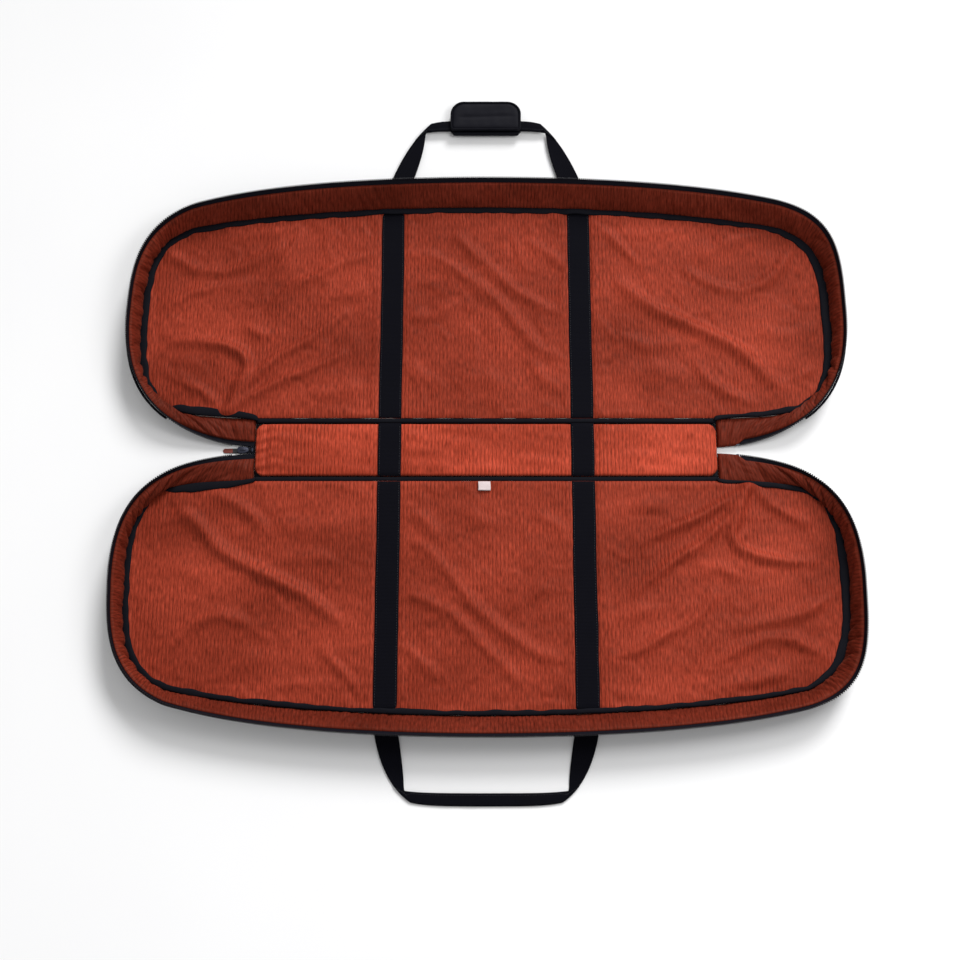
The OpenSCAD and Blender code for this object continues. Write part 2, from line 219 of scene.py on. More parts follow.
def outline(start_y, x, y, reach, pull, shoulder):
    """From the spine's right end, round one half of the bag, to the spine's left end."""
    shoulder_x, shoulder_y = x - shoulder[0], y - shoulder[1]
    near = [(SPINE_X + 0.0015, start_y), (SPINE_X + reach, start_y + 0.005),
            (x + 0.007, CORNER_Y), (x, END_MIDDLE)]
    turn = [(x, END_MIDDLE), (x, END_MIDDLE + 0.102),
            (x - pull, shoulder_y - 0.026), (shoulder_x, shoulder_y)]
    side = [(shoulder_x, shoulder_y), (shoulder_x - 0.113, y - 0.014), (x / 3, y), (0, y)]
    ways = [bezier(curve, np.linspace(0, 1, n * f, endpoint=False))
            for curve, n, f in zip((near, turn, side), STEPS, FINE)]
    path = np.concatenate(ways + [[(0, y)]])
    return np.concatenate([path, path[-2::-1] * (-1, 1)])


def run_of(path):
    return np.concatenate([[0], np.cumsum(np.linalg.norm(np.diff(path, axis=0), axis=1))])


def resample(path, count):
    """The same line with its points evenly spaced."""
    run = run_of(path)
    at = np.linspace(0, run[-1], count)
    return np.stack([np.interp(at, run, path[:, i]) for i in range(path.shape[1])], axis=1)


panel_line = outline(PANEL_START, PANEL_X, PANEL_Y, 0.170, 0.020, (0.075, 0.040))


def grid_faces(rows, columns, closed=False):
    index = np.arange(rows * columns).reshape(rows, columns)
    if closed:
        index = np.concatenate([index, index[:, :1]], axis=1)
    return np.stack([index[:-1, :-1], index[1:, :-1], index[1:, 1:], index[:-1, 1:]], axis=-1).reshape(-1, 4)


def add_mesh(name, points, faces, places, finish, half="base", tidy=False):
    """Makes a piece from points in a half's own frame, where y is the distance from the spine's middle."""
    points = np.array(points, float).reshape(-1, 3)
    points[:, 1] = MIDDLE + SIDE[half] * points[:, 1]
    faces = [list(map(int, f)) for f in faces]
    if half == "lid":
        faces = [f[::-1] for f in faces]
    mesh = bpy.data.meshes.new(name)
    mesh.from_pydata(points.tolist(), [], faces)
    loops = np.zeros(len(mesh.loops), int)
    mesh.loops.foreach_get("vertex_index", loops)
    layer = mesh.uv_layers.new(name="metres")
    layer.data.foreach_set("uv", np.asarray(places, float).reshape(-1, 2)[loops].ravel())
    if tidy:
        shape = bmesh.new()
        shape.from_mesh(mesh)
        bmesh.ops.recalc_face_normals(shape, faces=shape.faces)
        shape.to_mesh(mesh)
        shape.free()
    mesh.polygons.foreach_set("use_smooth", [True] * len(mesh.polygons))
    mesh.materials.append(finish.material)
    mesh.update()
    made = bpy.data.objects.new(name, mesh)
    bpy.context.scene.collection.objects.link(made)
    return made


def add_sheet(name, grid, finish, half="base", flip=False, places=None):
    """A sheet from rows of points.  Its map runs along the rows and across them, in metres."""
    rows, columns = grid.shape[:2]
    if places is None:
        along = run_of(grid[:, columns // 2])
        across = run_of(grid[rows // 2])
        places = np.stack(np.meshgrid(along, across, indexing="ij"), axis=-1)
    faces = grid_faces(rows, columns)
    return add_mesh(name, grid, faces[:, ::-1] if flip else faces, places, finish, half)


def add_rings(name, rings, finish, half="base"):
    """A solid skin over closed rings, with its two ends filled."""
    rows, columns = rings.shape[:2]
    faces = grid_faces(rows, columns, closed=True).tolist()
    faces += [list(range(columns)), [(rows - 1) * columns + i for i in range(columns)]]
    around = run_of(rings[rows // 2])
    places = np.stack(np.meshgrid(run_of(rings.mean(1)), around, indexing="ij"), axis=-1)
    return add_mesh(name, rings, faces, places, finish, half, tidy=True)


def thicken(piece, thickness):
    modifier = piece.modifiers.new("thickness", "SOLIDIFY")
    modifier.thickness = thickness
    modifier.offset = -1.0
    return piece


def finer(piece):
    modifier = piece.modifiers.new("finer", "SUBSURF")
    modifier.levels = 1
    modifier.render_levels = 1
    return piece


def goes(piece, body, slot, *nodes):
    """The piece moves with a body and stands for these solids; slot is not used."""
    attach(piece, body)
    if nodes:
        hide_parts(*nodes)
    return piece


def cloth_grid(line, step):
    """A square grid inside an outline, with its border on the outline, and how far in each point lies."""
    low, high = line.min(0), line.max(0)
    nx, ny = (np.ceil((high - low) / step)).astype(int) + 1
    xs, ys = np.linspace(low[0], high[0], nx), np.linspace(low[1], high[1], ny)
    gx, gy = np.meshgrid(xs, ys, indexing="ij")
    points = np.stack([gx.ravel(), gy.ravel()], axis=1)
    loop = resample(np.concatenate([line, line[:1]]), 2400)
    inside = np.zeros(len(points), bool)
    for p, q in zip(loop[:-1], loop[1:]):
        crosses = (p[1] > points[:, 1]) != (q[1] > points[:, 1])
        with np.errstate(divide="ignore", invalid="ignore"):
            x_at = (q[0] - p[0]) * (points[:, 1] - p[1]) / (q[1] - p[1]) + p[0]
        inside ^= crosses & (points[:, 0] < x_at)
    distance = np.empty(len(points))
    nearest = np.empty((len(points), 2))
    for start in range(0, len(points), 2000):
        block = points[start:start + 2000]
        gap = ((block[:, None] - loop[None]) ** 2).sum(2)
        best = gap.argmin(1)
        distance[start:start + 2000] = np.sqrt(gap[np.arange(len(block)), best])
        nearest[start:start + 2000] = loop[best]
    keep = inside | (distance < step * 0.45)
    quads = grid_faces(nx, ny)
    used, quads = np.unique(quads[keep[quads].all(1)], return_inverse=True)
    quads = quads.reshape(-1, 4)
    points, nearest, distance = points[used], nearest[used], distance[used]
    edges = np.sort(np.concatenate([quads[:, [i, (i + 1) % 4]] for i in range(4)]), axis=1)
    pairs, uses = np.unique(edges, axis=0, return_counts=True)
    border = np.unique(pairs[uses == 1])
    points[border] = nearest[border]
    distance[border] = 0
    return points, quads, border, distance


def roll(x, y, scale, seed):
    """A few turned sine waves added up: an even, seeded roll between about -1 and 1."""
    random = np.random.default_rng(seed)
    total = np.zeros(np.broadcast(x, y).shape)
    for _ in range(7):
        angle, phase = random.uniform(0, 2 * math.pi, 2)
        size = scale * random.uniform(0.6, 1.7)
        total += np.sin((x * math.cos(angle) + y * math.sin(angle)) * 2 * math.pi / size + phase)
    return total / 4


canvas = Finish("black_polyester", 0.82)
canvas_weave = canvas.math("MULTIPLY", canvas.waves(0, 0.0011, 1.5), canvas.waves(1, 0.0011, 1.5))
canvas_wear = canvas.noise(9, 5)
canvas_new = canvas.ramp(canvas_weave, (0.0035, 0.0035, 0.0058), (0.0115, 0.0115, 0.0165))
canvas_rubbed = canvas.ramp(canvas_weave, (0.0055, 0.0055, 0.0082), (0.0175, 0.0175, 0.0240))
canvas.colour(canvas.blend(canvas_wear, canvas_new, canvas_rubbed))
canvas.rough(canvas_wear, 0.70, 0.92).bump(canvas_weave, 0.0003, 0.6).bump(canvas.noise(60, 3), 0.0006, 0.3)
canvas.set(Sheen_Weight=0.02, Sheen_Roughness=0.5, Specular_IOR_Level=0.14)

for half in SIDE:
    points, quads, border, distance = cloth_grid(panel_line, 0.010)
    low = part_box(half + "_outer_panel")[0].z
    sag = np.clip(0.0005 + 0.0006 * roll(points[:, 0], points[:, 1], 0.22, 3 + SIDE[half]), 0, 0.0011)
    heights = low + sag * np.clip(distance / 0.03, 0, 1)
    outer = add_mesh(half + "_outer_panel_cloth", np.column_stack([points, heights]), quads[:, ::-1], points,
                     canvas, half)
    goes(thicken(outer, 0.0010), half, "outer_fabric", half + "_outer_panel")

SPINE_LOW, SPINE_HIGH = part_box("spine_outer_panel")
# The spine's layers end short of the fold piping, so that the piping has room when the bag is shut
SPINE_Y = min(SPINE_HIGH.y - MIDDLE, FOLD - 0.0046)


def spine_grid(nx, ny, inset=0.0):
    xs = np.linspace(-SPINE_X + inset, SPINE_X - inset, nx)
    ys = np.linspace(-SPINE_Y + inset, SPINE_Y - inset, ny)
    return np.meshgrid(xs, ys, indexing="ij")


gx, gy = spine_grid(160, 22)
heights = SPINE_LOW.z + 0.0004 * np.abs(roll(gx, gy, 0.15, 8))
spine_cloth = add_sheet("spine_outer_panel_cloth", np.stack([gx, gy, heights], axis=-1), canvas, flip=True)
goes(thicken(spine_cloth, 0.0010), "spine", "outer_fabric", "spine_outer_panel")

# Each half's outer fabric runs on under the piping of its fold
for half in SIDE:
    gx, gy = np.meshgrid(np.linspace(-SPINE_X, SPINE_X, 160),
                         np.linspace(FOLD - 0.0038, FOLD + 0.0058, 6), indexing="ij")
    heights = SPINE_LOW.z + 0.0002 + 0.0003 * np.abs(roll(gx, gy, 0.12, 12 + SIDE[half]))
    edge_cloth = add_sheet(half + "_fold_edge_cloth", np.stack([gx, gy, heights], axis=-1),
                           canvas, half, flip=True)
    goes(thicken(edge_cloth, 0.0008), half, "outer_fabric")


# ---- Foam sheets in the panels -------------------------------------------------------------------
# A sheet of pale closed-cell foam lies between the outer fabric and the lining of each panel.
# It is die-cut to the panel's outline and held by the seam all round.

foam = Finish("closed_cell_foam", 0.9)
foam_cells = foam.node("TexVoronoi", {"Vector": foam.place.outputs["Object"], "Scale": 700.0})
foam.colour(foam.ramp(foam_cells.outputs["Distance"], (0.52, 0.52, 0.50), (0.70, 0.70, 0.67)))
foam.bump(foam_cells.outputs["Distance"], 0.0003, 0.5)

for node in ("base_panel_foam", "lid_panel_foam"):
    frame["nodes"][node].data.materials.clear()
    frame["nodes"][node].data.materials.append(foam.material)


def round_corners(gx, gy, pull):
    """Pulls the spine's four corners in, so that they are round."""
    reach = 0.012
    corner = (np.maximum(reach - (SPINE_X - np.abs(gx)), 0)
              * np.maximum(reach - (SPINE_Y - np.abs(gy)), 0) / reach)
    return gx - np.sign(gx) * corner * pull, gy - np.sign(gy) * corner * pull


gx, gy = spine_grid(120, 30, 0.0024)
low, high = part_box("spine_foam")
sx, sy = round_corners(gx, gy, 0.5)
sheet = add_sheet("spine_foam_sheet", np.stack([sx, sy, gx * 0 + low.z + 0.0002], axis=-1), foam, flip=True)
goes(thicken(sheet, high.z - low.z - 0.0004), "spine", "foam", "spine_foam")


# ---- Lining of the panels ------------------------------------------------------------------------
# The lining is thin rust-red nylon with fine woven ribs that run from the spine to the far seam.
# It is cut a little large, so it lies on the foam in long soft folds, held by the seam and the straps.

STRAP_LOW, STRAP_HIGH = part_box("lid_inner_strap_right")
STRAP_X = (STRAP_LOW.x + STRAP_HIGH.x) / 2
STRAP_W = STRAP_HIGH.x - STRAP_LOW.x
RIB_PITCH = 0.0063


def ribbed_nylon(name, light):
    """Silky nylon whose ribs run across the map's first direction; light scales its colour, so that brighter
    copies of the one nylon carry painted light and darker copies carry painted shade.
    """
    finish = Finish(name, 0.42)
    ribs = finish.waves(0, RIB_PITCH, 1.8)
    threads = finish.noise(700, 2, (1, 0.10, 1))
    patches = finish.noise(8, 4)
    tone_and_shade_patches = finish.noise(5, 5, (1, 1.6, 1))
    # light brightens or darkens the whole colour: painted light above 1, painted shade below 1
    rust = np.array((0.275, 0.0340, 0.0155)) * light
    clear = finish.ramp(ribs, rust * 0.58, rust * 1.08, 0.02, 0.40)
    faint = finish.ramp(ribs, rust * 0.88, rust * 1.00, 0.02, 0.40)
    mixed = finish.blend(finish.ramp(patches, (0, 0, 0), (1, 1, 1), 0.38, 0.68), faint, clear)
    # Along the threads the colour runs darker and lighter: partly the threads' own tone, partly short
    # painted highlights on the crinkled ribs.
    fine = finish.ramp(threads, (0.56, 0.54, 0.52), (1.40, 1.44, 1.50), 0.3, 0.7)
    # Large soft patches darken and brighten the whole colour: partly uneven tone, partly painted light and
    # shade.
    broad = finish.ramp(tone_and_shade_patches, (0.70, 0.66, 0.62), (1.26, 1.32, 1.38), 0.34, 0.70)
    finish.colour(finish.blend(1.0, finish.blend(1.0, mixed, fine, "MULTIPLY"), broad, "MULTIPLY"))
    finish.rough(patches, 0.62, 0.50)
    finish.bump(ribs, 0.0006, 0.35).bump(threads, 0.0006, 0.45).bump(finish.noise(60, 4), 0.0026, 0.45)
    finish.set(Sheen_Weight=0.10, Sheen_Roughness=0.35, Specular_IOR_Level=0.14)
    finish.surface.inputs["Sheen Tint"].default_value = (1.0, 0.32, 0.20, 1)
    finish.surface.inputs["Specular Tint"].default_value = (1.0, 0.55, 0.42, 1)
    return finish


lining = ribbed_nylon("rust_ribbed_nylon", 1.0)

# Each fold is a soft ridge: its points on the panel, its width and its height.  Narrower is sharper.
LID_FOLDS = [
    ([(-0.494, 0.107), (-0.465, 0.129), (-0.430, 0.170), (-0.400, 0.189), (-0.343, 0.218), (-0.288, 0.245),
      (-0.229, 0.292)], 0.019, 0.0125),
    ([(-0.443, 0.077), (-0.403, 0.097), (-0.371, 0.120), (-0.352, 0.148)], 0.018, 0.0080),
    ([(-0.523, 0.359), (-0.504, 0.326), (-0.471, 0.293), (-0.430, 0.277), (-0.390, 0.287), (-0.345, 0.315)],
     0.018, 0.0080),
    ([(-0.500, 0.118), (-0.522, 0.125), (-0.545, 0.138)], 0.008, 0.0045),
    ([(-0.335, 0.392), (-0.288, 0.386), (-0.229, 0.385)], 0.012, 0.0050),
    ([(-0.262, 0.330), (-0.222, 0.372), (-0.196, 0.402)], 0.012, 0.0060),
    ([(-0.335, 0.120), (-0.285, 0.140), (-0.235, 0.130)], 0.030, 0.0050),
    ([(-0.330, 0.185), (-0.270, 0.180), (-0.215, 0.205)], 0.022, 0.0060),
    ([(-0.560, 0.210), (-0.500, 0.200), (-0.450, 0.215)], 0.030, 0.0045),
    ([(-0.500, 0.400), (-0.420, 0.372), (-0.350, 0.340)], 0.026, 0.0060),
    ([(0.427, 0.060), (0.394, 0.088), (0.343, 0.118), (0.297, 0.136), (0.240, 0.166)], 0.014, 0.0120),
    ([(0.429, 0.062), (0.398, 0.112), (0.350, 0.160), (0.300, 0.190), (0.240, 0.240)], 0.014, 0.0120),
    ([(0.431, 0.062), (0.412, 0.112), (0.396, 0.142), (0.408, 0.168), (0.440, 0.182), (0.489, 0.190),
      (0.525, 0.190)], 0.013, 0.0120),
    ([(0.436, 0.064), (0.470, 0.100), (0.520, 0.128)], 0.014, 0.0090),
    ([(0.353, 0.206), (0.372, 0.198), (0.408, 0.216)], 0.014, 0.0060),
    ([(0.365, 0.245), (0.343, 0.275), (0.317, 0.296), (0.285, 0.306), (0.253, 0.330), (0.205, 0.345)],
     0.014, 0.0090),
    ([(0.350, 0.360), (0.402, 0.330), (0.446, 0.314), (0.489, 0.317), (0.530, 0.340), (0.560, 0.362)],
     0.016, 0.0090),
    ([(0.400, 0.297), (0.455, 0.288), (0.504, 0.275), (0.556, 0.243)], 0.016, 0.0075),
    ([(0.315, 0.392), (0.343, 0.337), (0.370, 0.300)], 0.010, 0.0065),
    ([(0.205, 0.285), (0.250, 0.270), (0.290, 0.262)], 0.020, 0.0060),
    ([(0.205, 0.110), (0.250, 0.098), (0.300, 0.092)], 0.022, 0.0060),
    ([(0.330, 0.400), (0.400, 0.385), (0.470, 0.372)], 0.020, 0.0055),
    ([(-0.135, 0.150), (-0.090, 0.175), (-0.055, 0.215), (-0.020, 0.262), (0.025, 0.300), (0.080, 0.340),
      (0.125, 0.350)], 0.017, 0.0075),
    ([(-0.140, 0.240), (-0.100, 0.250), (-0.050, 0.280), (0.000, 0.330), (0.050, 0.380)], 0.015, 0.0070),
    ([(-0.140, 0.100), (-0.100, 0.120), (-0.080, 0.150)], 0.020, 0.0060),
    ([(-0.030, 0.110), (0.000, 0.125), (0.050, 0.120)], 0.026, 0.0055),
    ([(0.080, 0.112), (0.115, 0.130), (0.140, 0.160)], 0.018, 0.0060),
    ([(0.040, 0.265), (0.090, 0.235), (0.140, 0.230)], 0.018, 0.0055),
    ([(-0.138, 0.320), (-0.110, 0.345), (-0.080, 0.372)], 0.014, 0.0055),
]


def fold_height(x, y, folds):
    """Height of the folds at each point: soft ridges that fade out at both ends."""
    total = np.zeros(len(x))
    spot = np.column_stack([x, y])
    for line, width, height in folds:
        path = resample(np.array(line), 9 * len(line))
        for _ in range(3):
            path[1:-1] = (path[:-2] + 2 * path[1:-1] + path[2:]) / 4
        gap = ((spot[:, None] - path[None]) ** 2).sum(2)
        best = gap.argmin(1)
        along = best / (len(path) - 1)
        fade = np.sin(math.pi * np.clip(along * 0.86 + 0.07, 0, 1)) ** 0.6
        total += height * fade * np.exp(-gap[np.arange(len(spot)), best] / (2 * (width * 0.42) ** 2))
    return total


def beside_straps(x):
    return np.minimum(np.abs(x - STRAP_X), np.abs(x + STRAP_X)) - STRAP_W / 2


def seam_puckers(x, y, distance, beside, seed):
    """Small gathers that run square to the seams and fade out within a few centimetres."""
    at_strap = np.exp(-np.maximum(beside, 0) / 0.014) * np.clip(beside / 0.004, 0, 1)
    wave = np.sin(y * 2 * math.pi / 0.019 + 2.2 * roll(x, y, 0.09, seed))
    at_seam = np.exp(-distance / 0.016) * np.clip(distance / 0.004, 0, 1)
    ring = np.sin((x + y * 0.3) * 2 * math.pi / 0.021 + 2.6 * roll(x, y, 0.08, seed + 1))
    strength = 0.5 + 0.5 * roll(x, y, 0.12, seed + 2)
    return 0.0011 * np.clip(strength, 0, 1.4) * (at_strap * wave + at_seam * ring)


def settle(piece, pinned, floor_height, frames, spare):
    """Lets the cloth settle on the foam, with a little more cloth than the seams leave room for."""
    low, high = np.array(piece.bound_box).min(0) - 0.05, np.array(piece.bound_box).max(0) + 0.05
    board = bpy.data.meshes.new("rest_board")
    board.from_pydata([(x, y, floor_height) for x, y in ((low[0], low[1]), (high[0], low[1]),
                      (high[0], high[1]), (low[0], high[1]))], [], [(0, 1, 2, 3)])
    table = bpy.data.objects.new("rest_board", board)
    bpy.context.scene.collection.objects.link(table)
    table.modifiers.new("collision", "COLLISION")
    table.collision.thickness_outer = 0.001
    table.collision.cloth_friction = 10
    sewn = piece.vertex_groups.new(name="sewn")
    sewn.add([int(i) for i in pinned], 1.0, "REPLACE")
    cloth = piece.modifiers.new("cloth", "CLOTH")
    cloth.settings.vertex_group_mass = "sewn"
    cloth.settings.quality = 5
    cloth.settings.mass = 0.05
    cloth.settings.air_damping = 3.0
    cloth.settings.tension_stiffness = 15
    cloth.settings.compression_stiffness = 15
    cloth.settings.shear_stiffness = 8
    cloth.settings.bending_model = "ANGULAR"
    cloth.settings.bending_stiffness = 12.0
    cloth.settings.bending_damping = 2.0
    cloth.settings.shrink_min = -spare
    cloth.settings.shrink_max = -spare
    cloth.collision_settings.distance_min = 0.0012
    cloth.collision_settings.use_self_collision = False
    cloth.point_cache.frame_start, cloth.point_cache.frame_end = 1, frames
    for number in range(1, frames + 1):
        bpy.context.scene.frame_set(number)
    shape = piece.evaluated_get(bpy.context.evaluated_depsgraph_get()).to_mesh()
    moved = np.zeros(len(shape.vertices) * 3)
    shape.vertices.foreach_get("co", moved)
    piece.modifiers.remove(cloth)
    piece.vertex_groups.clear()
    bpy.data.objects.remove(table)
    bpy.context.scene.frame_set(1)
    return moved.reshape(-1, 3)


for half in SIDE:
    points, quads, border, distance = cloth_grid(panel_line, 0.0055)
    x, y = points.T
    beside = beside_straps(x)
    pinch = np.exp(-(((-SIDE[half] * x - 0.426) / 0.020) ** 2 + ((y - 0.058) / 0.020) ** 2))
    free = np.clip(distance / (0.024 - 0.016 * pinch), 0, 1) ** 0.7 * np.clip(beside / 0.020, 0, 1) ** 0.7
    turned = -SIDE[half] * x
    beside_label = np.clip(np.hypot((x + 0.003) / 0.020, (y - 0.060) / 0.022) - 0.7, 0, 1)
    free = free * beside_label
    folds = fold_height(turned, y, LID_FOLDS)
    waves = 0.0018 * roll(x, y, 0.13, 20 + SIDE[half]) + 0.0010 * roll(x, y, 0.05, 31 + SIDE[half])
    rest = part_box(half + "_panel_lining")[0].z
    start = rest + 0.0010 + np.maximum(folds + waves + 0.0012, 0) * free
    piece = add_mesh(half + "_panel_lining_cloth", np.column_stack([points, start]), quads,
                     points, lining, half)
    shape = np.column_stack([x, MIDDLE + SIDE[half] * y, start])
    held = (distance < 0.0005) | (beside < 0.001)
    settled = settle(piece, np.flatnonzero(held), rest, 14, 0.004)
    shape += np.clip(settled - shape, -0.0025, 0.0025) * beside_label[:, None]
    shape[:, 2] += seam_puckers(x, y, distance, beside, 40 + SIDE[half]) * beside_label
    shape[:, 2] = np.maximum(shape[:, 2], rest + 0.0006)
    piece.data.vertices.foreach_set("co", shape.ravel())
    piece.data.update()
    finer(thicken(piece, 0.0005))
    goes(piece, half, "lining", half + "_panel_lining")

# The spine's lining is stretched over the foam like a long cushion and gathered at its left end
# Its nylon is a brighter copy of the same lining, at 1.42 times its colour: painted light on the spine.
spine_lining = ribbed_nylon("rust_ribbed_nylon_spine_painted_light", 1.42)
gx, gy = spine_grid(300, 44)
edge = np.minimum(SPINE_X - np.abs(gx), SPINE_Y - np.abs(gy))
puff = np.clip(edge / 0.016, 0, 1)
puff = np.sqrt(1 - (1 - puff) ** 2)
beside = beside_straps(gx)
under_strap = np.clip(beside / 0.012, 0, 1)
from_left = gx + SPINE_X
gather = np.exp(-from_left / 0.030) * np.sin(gy * 2 * math.pi / 0.017 + 2 * roll(gx, gy, 0.06, 61))
end_seam = np.exp(-((from_left - 0.019) / 0.0035) ** 2)
wrinkles = 0.0010 * roll(gx, gy, 0.035, 62) + 0.0010 * roll(gx, gy * 2.5, 0.09, 63)
cushion = (0.0006 + puff * (0.0022 + under_strap * (0.0016 + wrinkles))
           + puff * (0.0020 * gather - 0.0026 * end_seam))
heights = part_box("spine_lining")[0].z + np.maximum(cushion, 0.0004)
# Its edge turns down over the foam to the outer fabric, where the two are sewn together
heights = np.where(edge < 1e-6, SPINE_LOW.z + 0.0012, heights)
sx, sy = round_corners(gx, gy, 0.45)
cover = add_sheet("spine_lining_cloth", np.stack([sx, sy, heights], axis=-1), spine_lining,
                  places=np.stack([gx, gy], axis=-1))
goes(thicken(cover, 0.0005), "spine", "lining", "spine_lining")


# ---- Walls of the two halves ---------------------------------------------------------------------
# Each wall is a strip of outer fabric, thin foam and lining, sewn to the panel's edge.
# It stands up all round the half, and where it meets the spine it lies flat.

WALL_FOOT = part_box("base_wall_lining")[0].z
RIM_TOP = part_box("base_zip_teeth")[1].z
LEAN_SIDE, LEAN_END = 0.036, 0.014
TEETH_W, TAPE_W = 0.0026, 0.0080
FABRIC_TOP = TEETH_W + TAPE_W + 0.0004
WALL_T = 0.0050

rim_line = outline(0.004, PANEL_X + LEAN_END, PANEL_Y + LEAN_SIDE, 0.105, 0.008, (0.097, 0.044))
first_steps = (0, STEPS[0], STEPS[0] + STEPS[1])
step_of = np.concatenate([first + np.linspace(0, n, n * f, endpoint=False)
                          for first, n, f in zip(first_steps, STEPS, FINE)] + [[LAST / 2]])
step_of = np.concatenate([step_of, LAST - step_of[-2::-1]])
from_spine = np.minimum(step_of, LAST - step_of)


def unit(v):
    return v / np.linalg.norm(v, axis=-1, keepdims=True)


def level_tangent(path):
    return np.column_stack([unit(np.gradient(path, axis=0)), np.zeros(len(path))])


# The soft wall leans in a little at the left shoulder of each half
slump = np.exp(-((step_of - (LAST - 14.2)) / 3.6) ** 2)
rim_line = rim_line - 0.014 * slump[:, None] * unit(np.column_stack([rim_line[:, 0] * 0.6, rim_line[:, 1]]))
rim_height = WALL_FOOT + (RIM_TOP - WALL_FOOT) * (1 - np.cos(math.pi * np.clip(from_spine / 7.2, 0, 1))) / 2
panel_out = np.cross(level_tangent(panel_line), (0, 0, 1))
wall_foot = np.column_stack([panel_line, np.full(len(panel_line), WALL_FOOT)]) + 0.0003 * panel_out
wall_head = np.column_stack([rim_line, rim_height])
wall_up = unit(wall_head - wall_foot)
wall_out = unit(np.cross(level_tangent(rim_line), wall_up))
wall_length = np.linalg.norm(wall_head - wall_foot, axis=1)
wall_run = run_of((wall_foot + wall_head) / 2)
to_spine = 0.0013 * np.clip(1 - np.minimum(wall_run, wall_run[-1] - wall_run) / 0.010, 0, 1)
for line in (wall_foot, wall_head):
    line[:, 0] -= np.sign(line[:, 0]) * to_spine


def wall_point(down, out):
    """A grid over the wall: down from the rim along its slope, and out from its inner face."""
    down, out = np.broadcast_arrays(down, out)
    return (wall_head[:, None] - down[..., None] * wall_up[:, None] + out[..., None] * wall_out[:, None])


def bends(piece, half, slot, *nodes):
    """Bakes the piece's place into its points and hides the solids it stands for; half and slot are not
    used.
    """
    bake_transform(piece)
    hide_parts(*nodes)
    return piece


# The fabric ends under the zip tape, but at the right end, where the zip has not begun, it is hemmed
no_zip = np.clip((1.15 - step_of) / 0.25, 0, 1)[:, None]
hem_down = FABRIC_TOP - 0.0004 - (FABRIC_TOP - 0.0016) * no_zip
# The walls use a darker copy of the same nylon, at 0.49 of its colour: painted shade on the steep walls,
# which take less of the light.
wall_nylon_painted_shade = ribbed_nylon("rust_ribbed_nylon_wall_painted_shade", 0.49)
# At its two ends the wall is sewn shut, so its layers come together there
wall_end = np.clip(1 - np.minimum(wall_run, wall_run[-1] - wall_run) / 0.005, 0, 1)[:, None] ** 2
near_corner = np.exp(-((from_spine - 4.6) / 2.6) ** 2)[:, None]
shoulder_part = np.exp(-((from_spine - 12.5) / 3.0) ** 2)[:, None]
for half in SIDE:
    seed = 70 + SIDE[half]
    share = np.concatenate([[0, 0.012, 0.035], np.linspace(0.07, 1, 20)])[None, :]
    down = hem_down + share * (wall_length[:, None] - hem_down)
    run = np.broadcast_to(wall_run[:, None], down.shape)
    held = np.sin(math.pi * np.clip(share * 0.94 + 0.03, 0, 1)) ** 0.55
    slope = np.where(step_of < LAST / 2, -1.0, 1.0)[:, None]
    slant = run + slope * down * (0.15 + 1.35 * near_corner)
    big = np.abs(np.sin(math.pi * slant / 0.031 + 1.9 * roll(run, down, 0.12, seed))) ** 0.5
    small = np.abs(np.sin(math.pi * slant / 0.013 + 2.2 * roll(run, down, 0.06, seed + 3))) ** 0.6
    slack = np.clip(0.6 + 0.7 * roll(run, down * 0, 0.16, seed + 5), 0.2, 1.4)
    puff = 0.0012 + big * (0.0095 * near_corner + 0.0042 * shoulder_part + 0.0010) + small * slack * 0.0028
    puff = puff + 0.0014 * roll(run, down, 0.035, seed + 8)
    grid_out = -puff * held
    grid_out[:, 0], grid_out[:, 1] = 0.0019, 0.0008
    grid_out = grid_out + (0.0024 - grid_out) * wall_end
    piece = add_sheet(half + "_wall_lining_cloth", wall_point(down, grid_out), wall_nylon_painted_shade, half)
    bends(thicken(piece, 0.0005), half, "lining", half + "_wall_lining")

    down = FABRIC_TOP + 0.0012 + np.linspace(0, 1, 6)[None, :] * (wall_length[:, None] - FABRIC_TOP - 0.0022)
    strip = wall_point(down, np.full(down.shape, 0.0011))[from_spine >= 8.5]
    piece = add_sheet(half + "_wall_foam_strip", strip, foam, half)
    bends(thicken(piece, 0.0024), half, "foam", half + "_wall_foam")

    share = np.concatenate([[0, 0.015, 0.05], np.linspace(0.1, 1, 12)])[None, :]
    down = hem_down + share * (wall_length[:, None] - hem_down)
    ripple = 0.0005 * roll(run[:, :1], down, 0.09, seed + 10) * np.sin(math.pi * share)
    grid_out = WALL_T - 0.0002 + ripple
    grid_out[:, 0], grid_out[:, 1] = 0.0031, 0.0044
    grid_out = grid_out + (0.0026 - grid_out) * wall_end
    # Below the foot the fabric turns in under the panel's edge, where the two are sewn together
    low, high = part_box(half + "_outer_panel")
    turn_in = [np.column_stack([panel_line, np.full(len(panel_line), z)]) + out * panel_out
               for z, out in ((high.z + 0.0022, 0.0034), (low.z + 0.0012, 0.0016),
                              (low.z + 0.0002, -0.0010))]
    outside = np.concatenate([wall_point(down, grid_out), np.stack(turn_in, axis=1)], axis=1)
    piece = add_sheet(half + "_outer_wall_cloth", outside, canvas, half, flip=True)
    bends(thicken(piece, 0.0010), half, "outer_fabric", half + "_outer_wall")


# ---- Piping in the seams -------------------------------------------------------------------------
# A black fabric tape is folded over each seam inside: round both panels and along both folds.
# It is sewn by hand guiding, so it lies a little wavy and grows wide round the ends of the bag.

tape_cloth = Finish("black_binding_tape", 0.75)
tape_weave = tape_cloth.waves(0, 0.0016, 0.8)
tape_cloth.colour(tape_cloth.ramp(tape_weave, (0.0016, 0.0017, 0.0036), (0.0056, 0.0058, 0.0100)))
tape_cloth.rough(tape_cloth.noise(30, 3), 0.62, 0.85).bump(tape_weave, 0.0003, 0.5)
tape_cloth.bump(tape_cloth.noise(120, 3), 0.0008, 0.4)
tape_cloth.set(Sheen_Weight=0.0, Specular_IOR_Level=0.09)


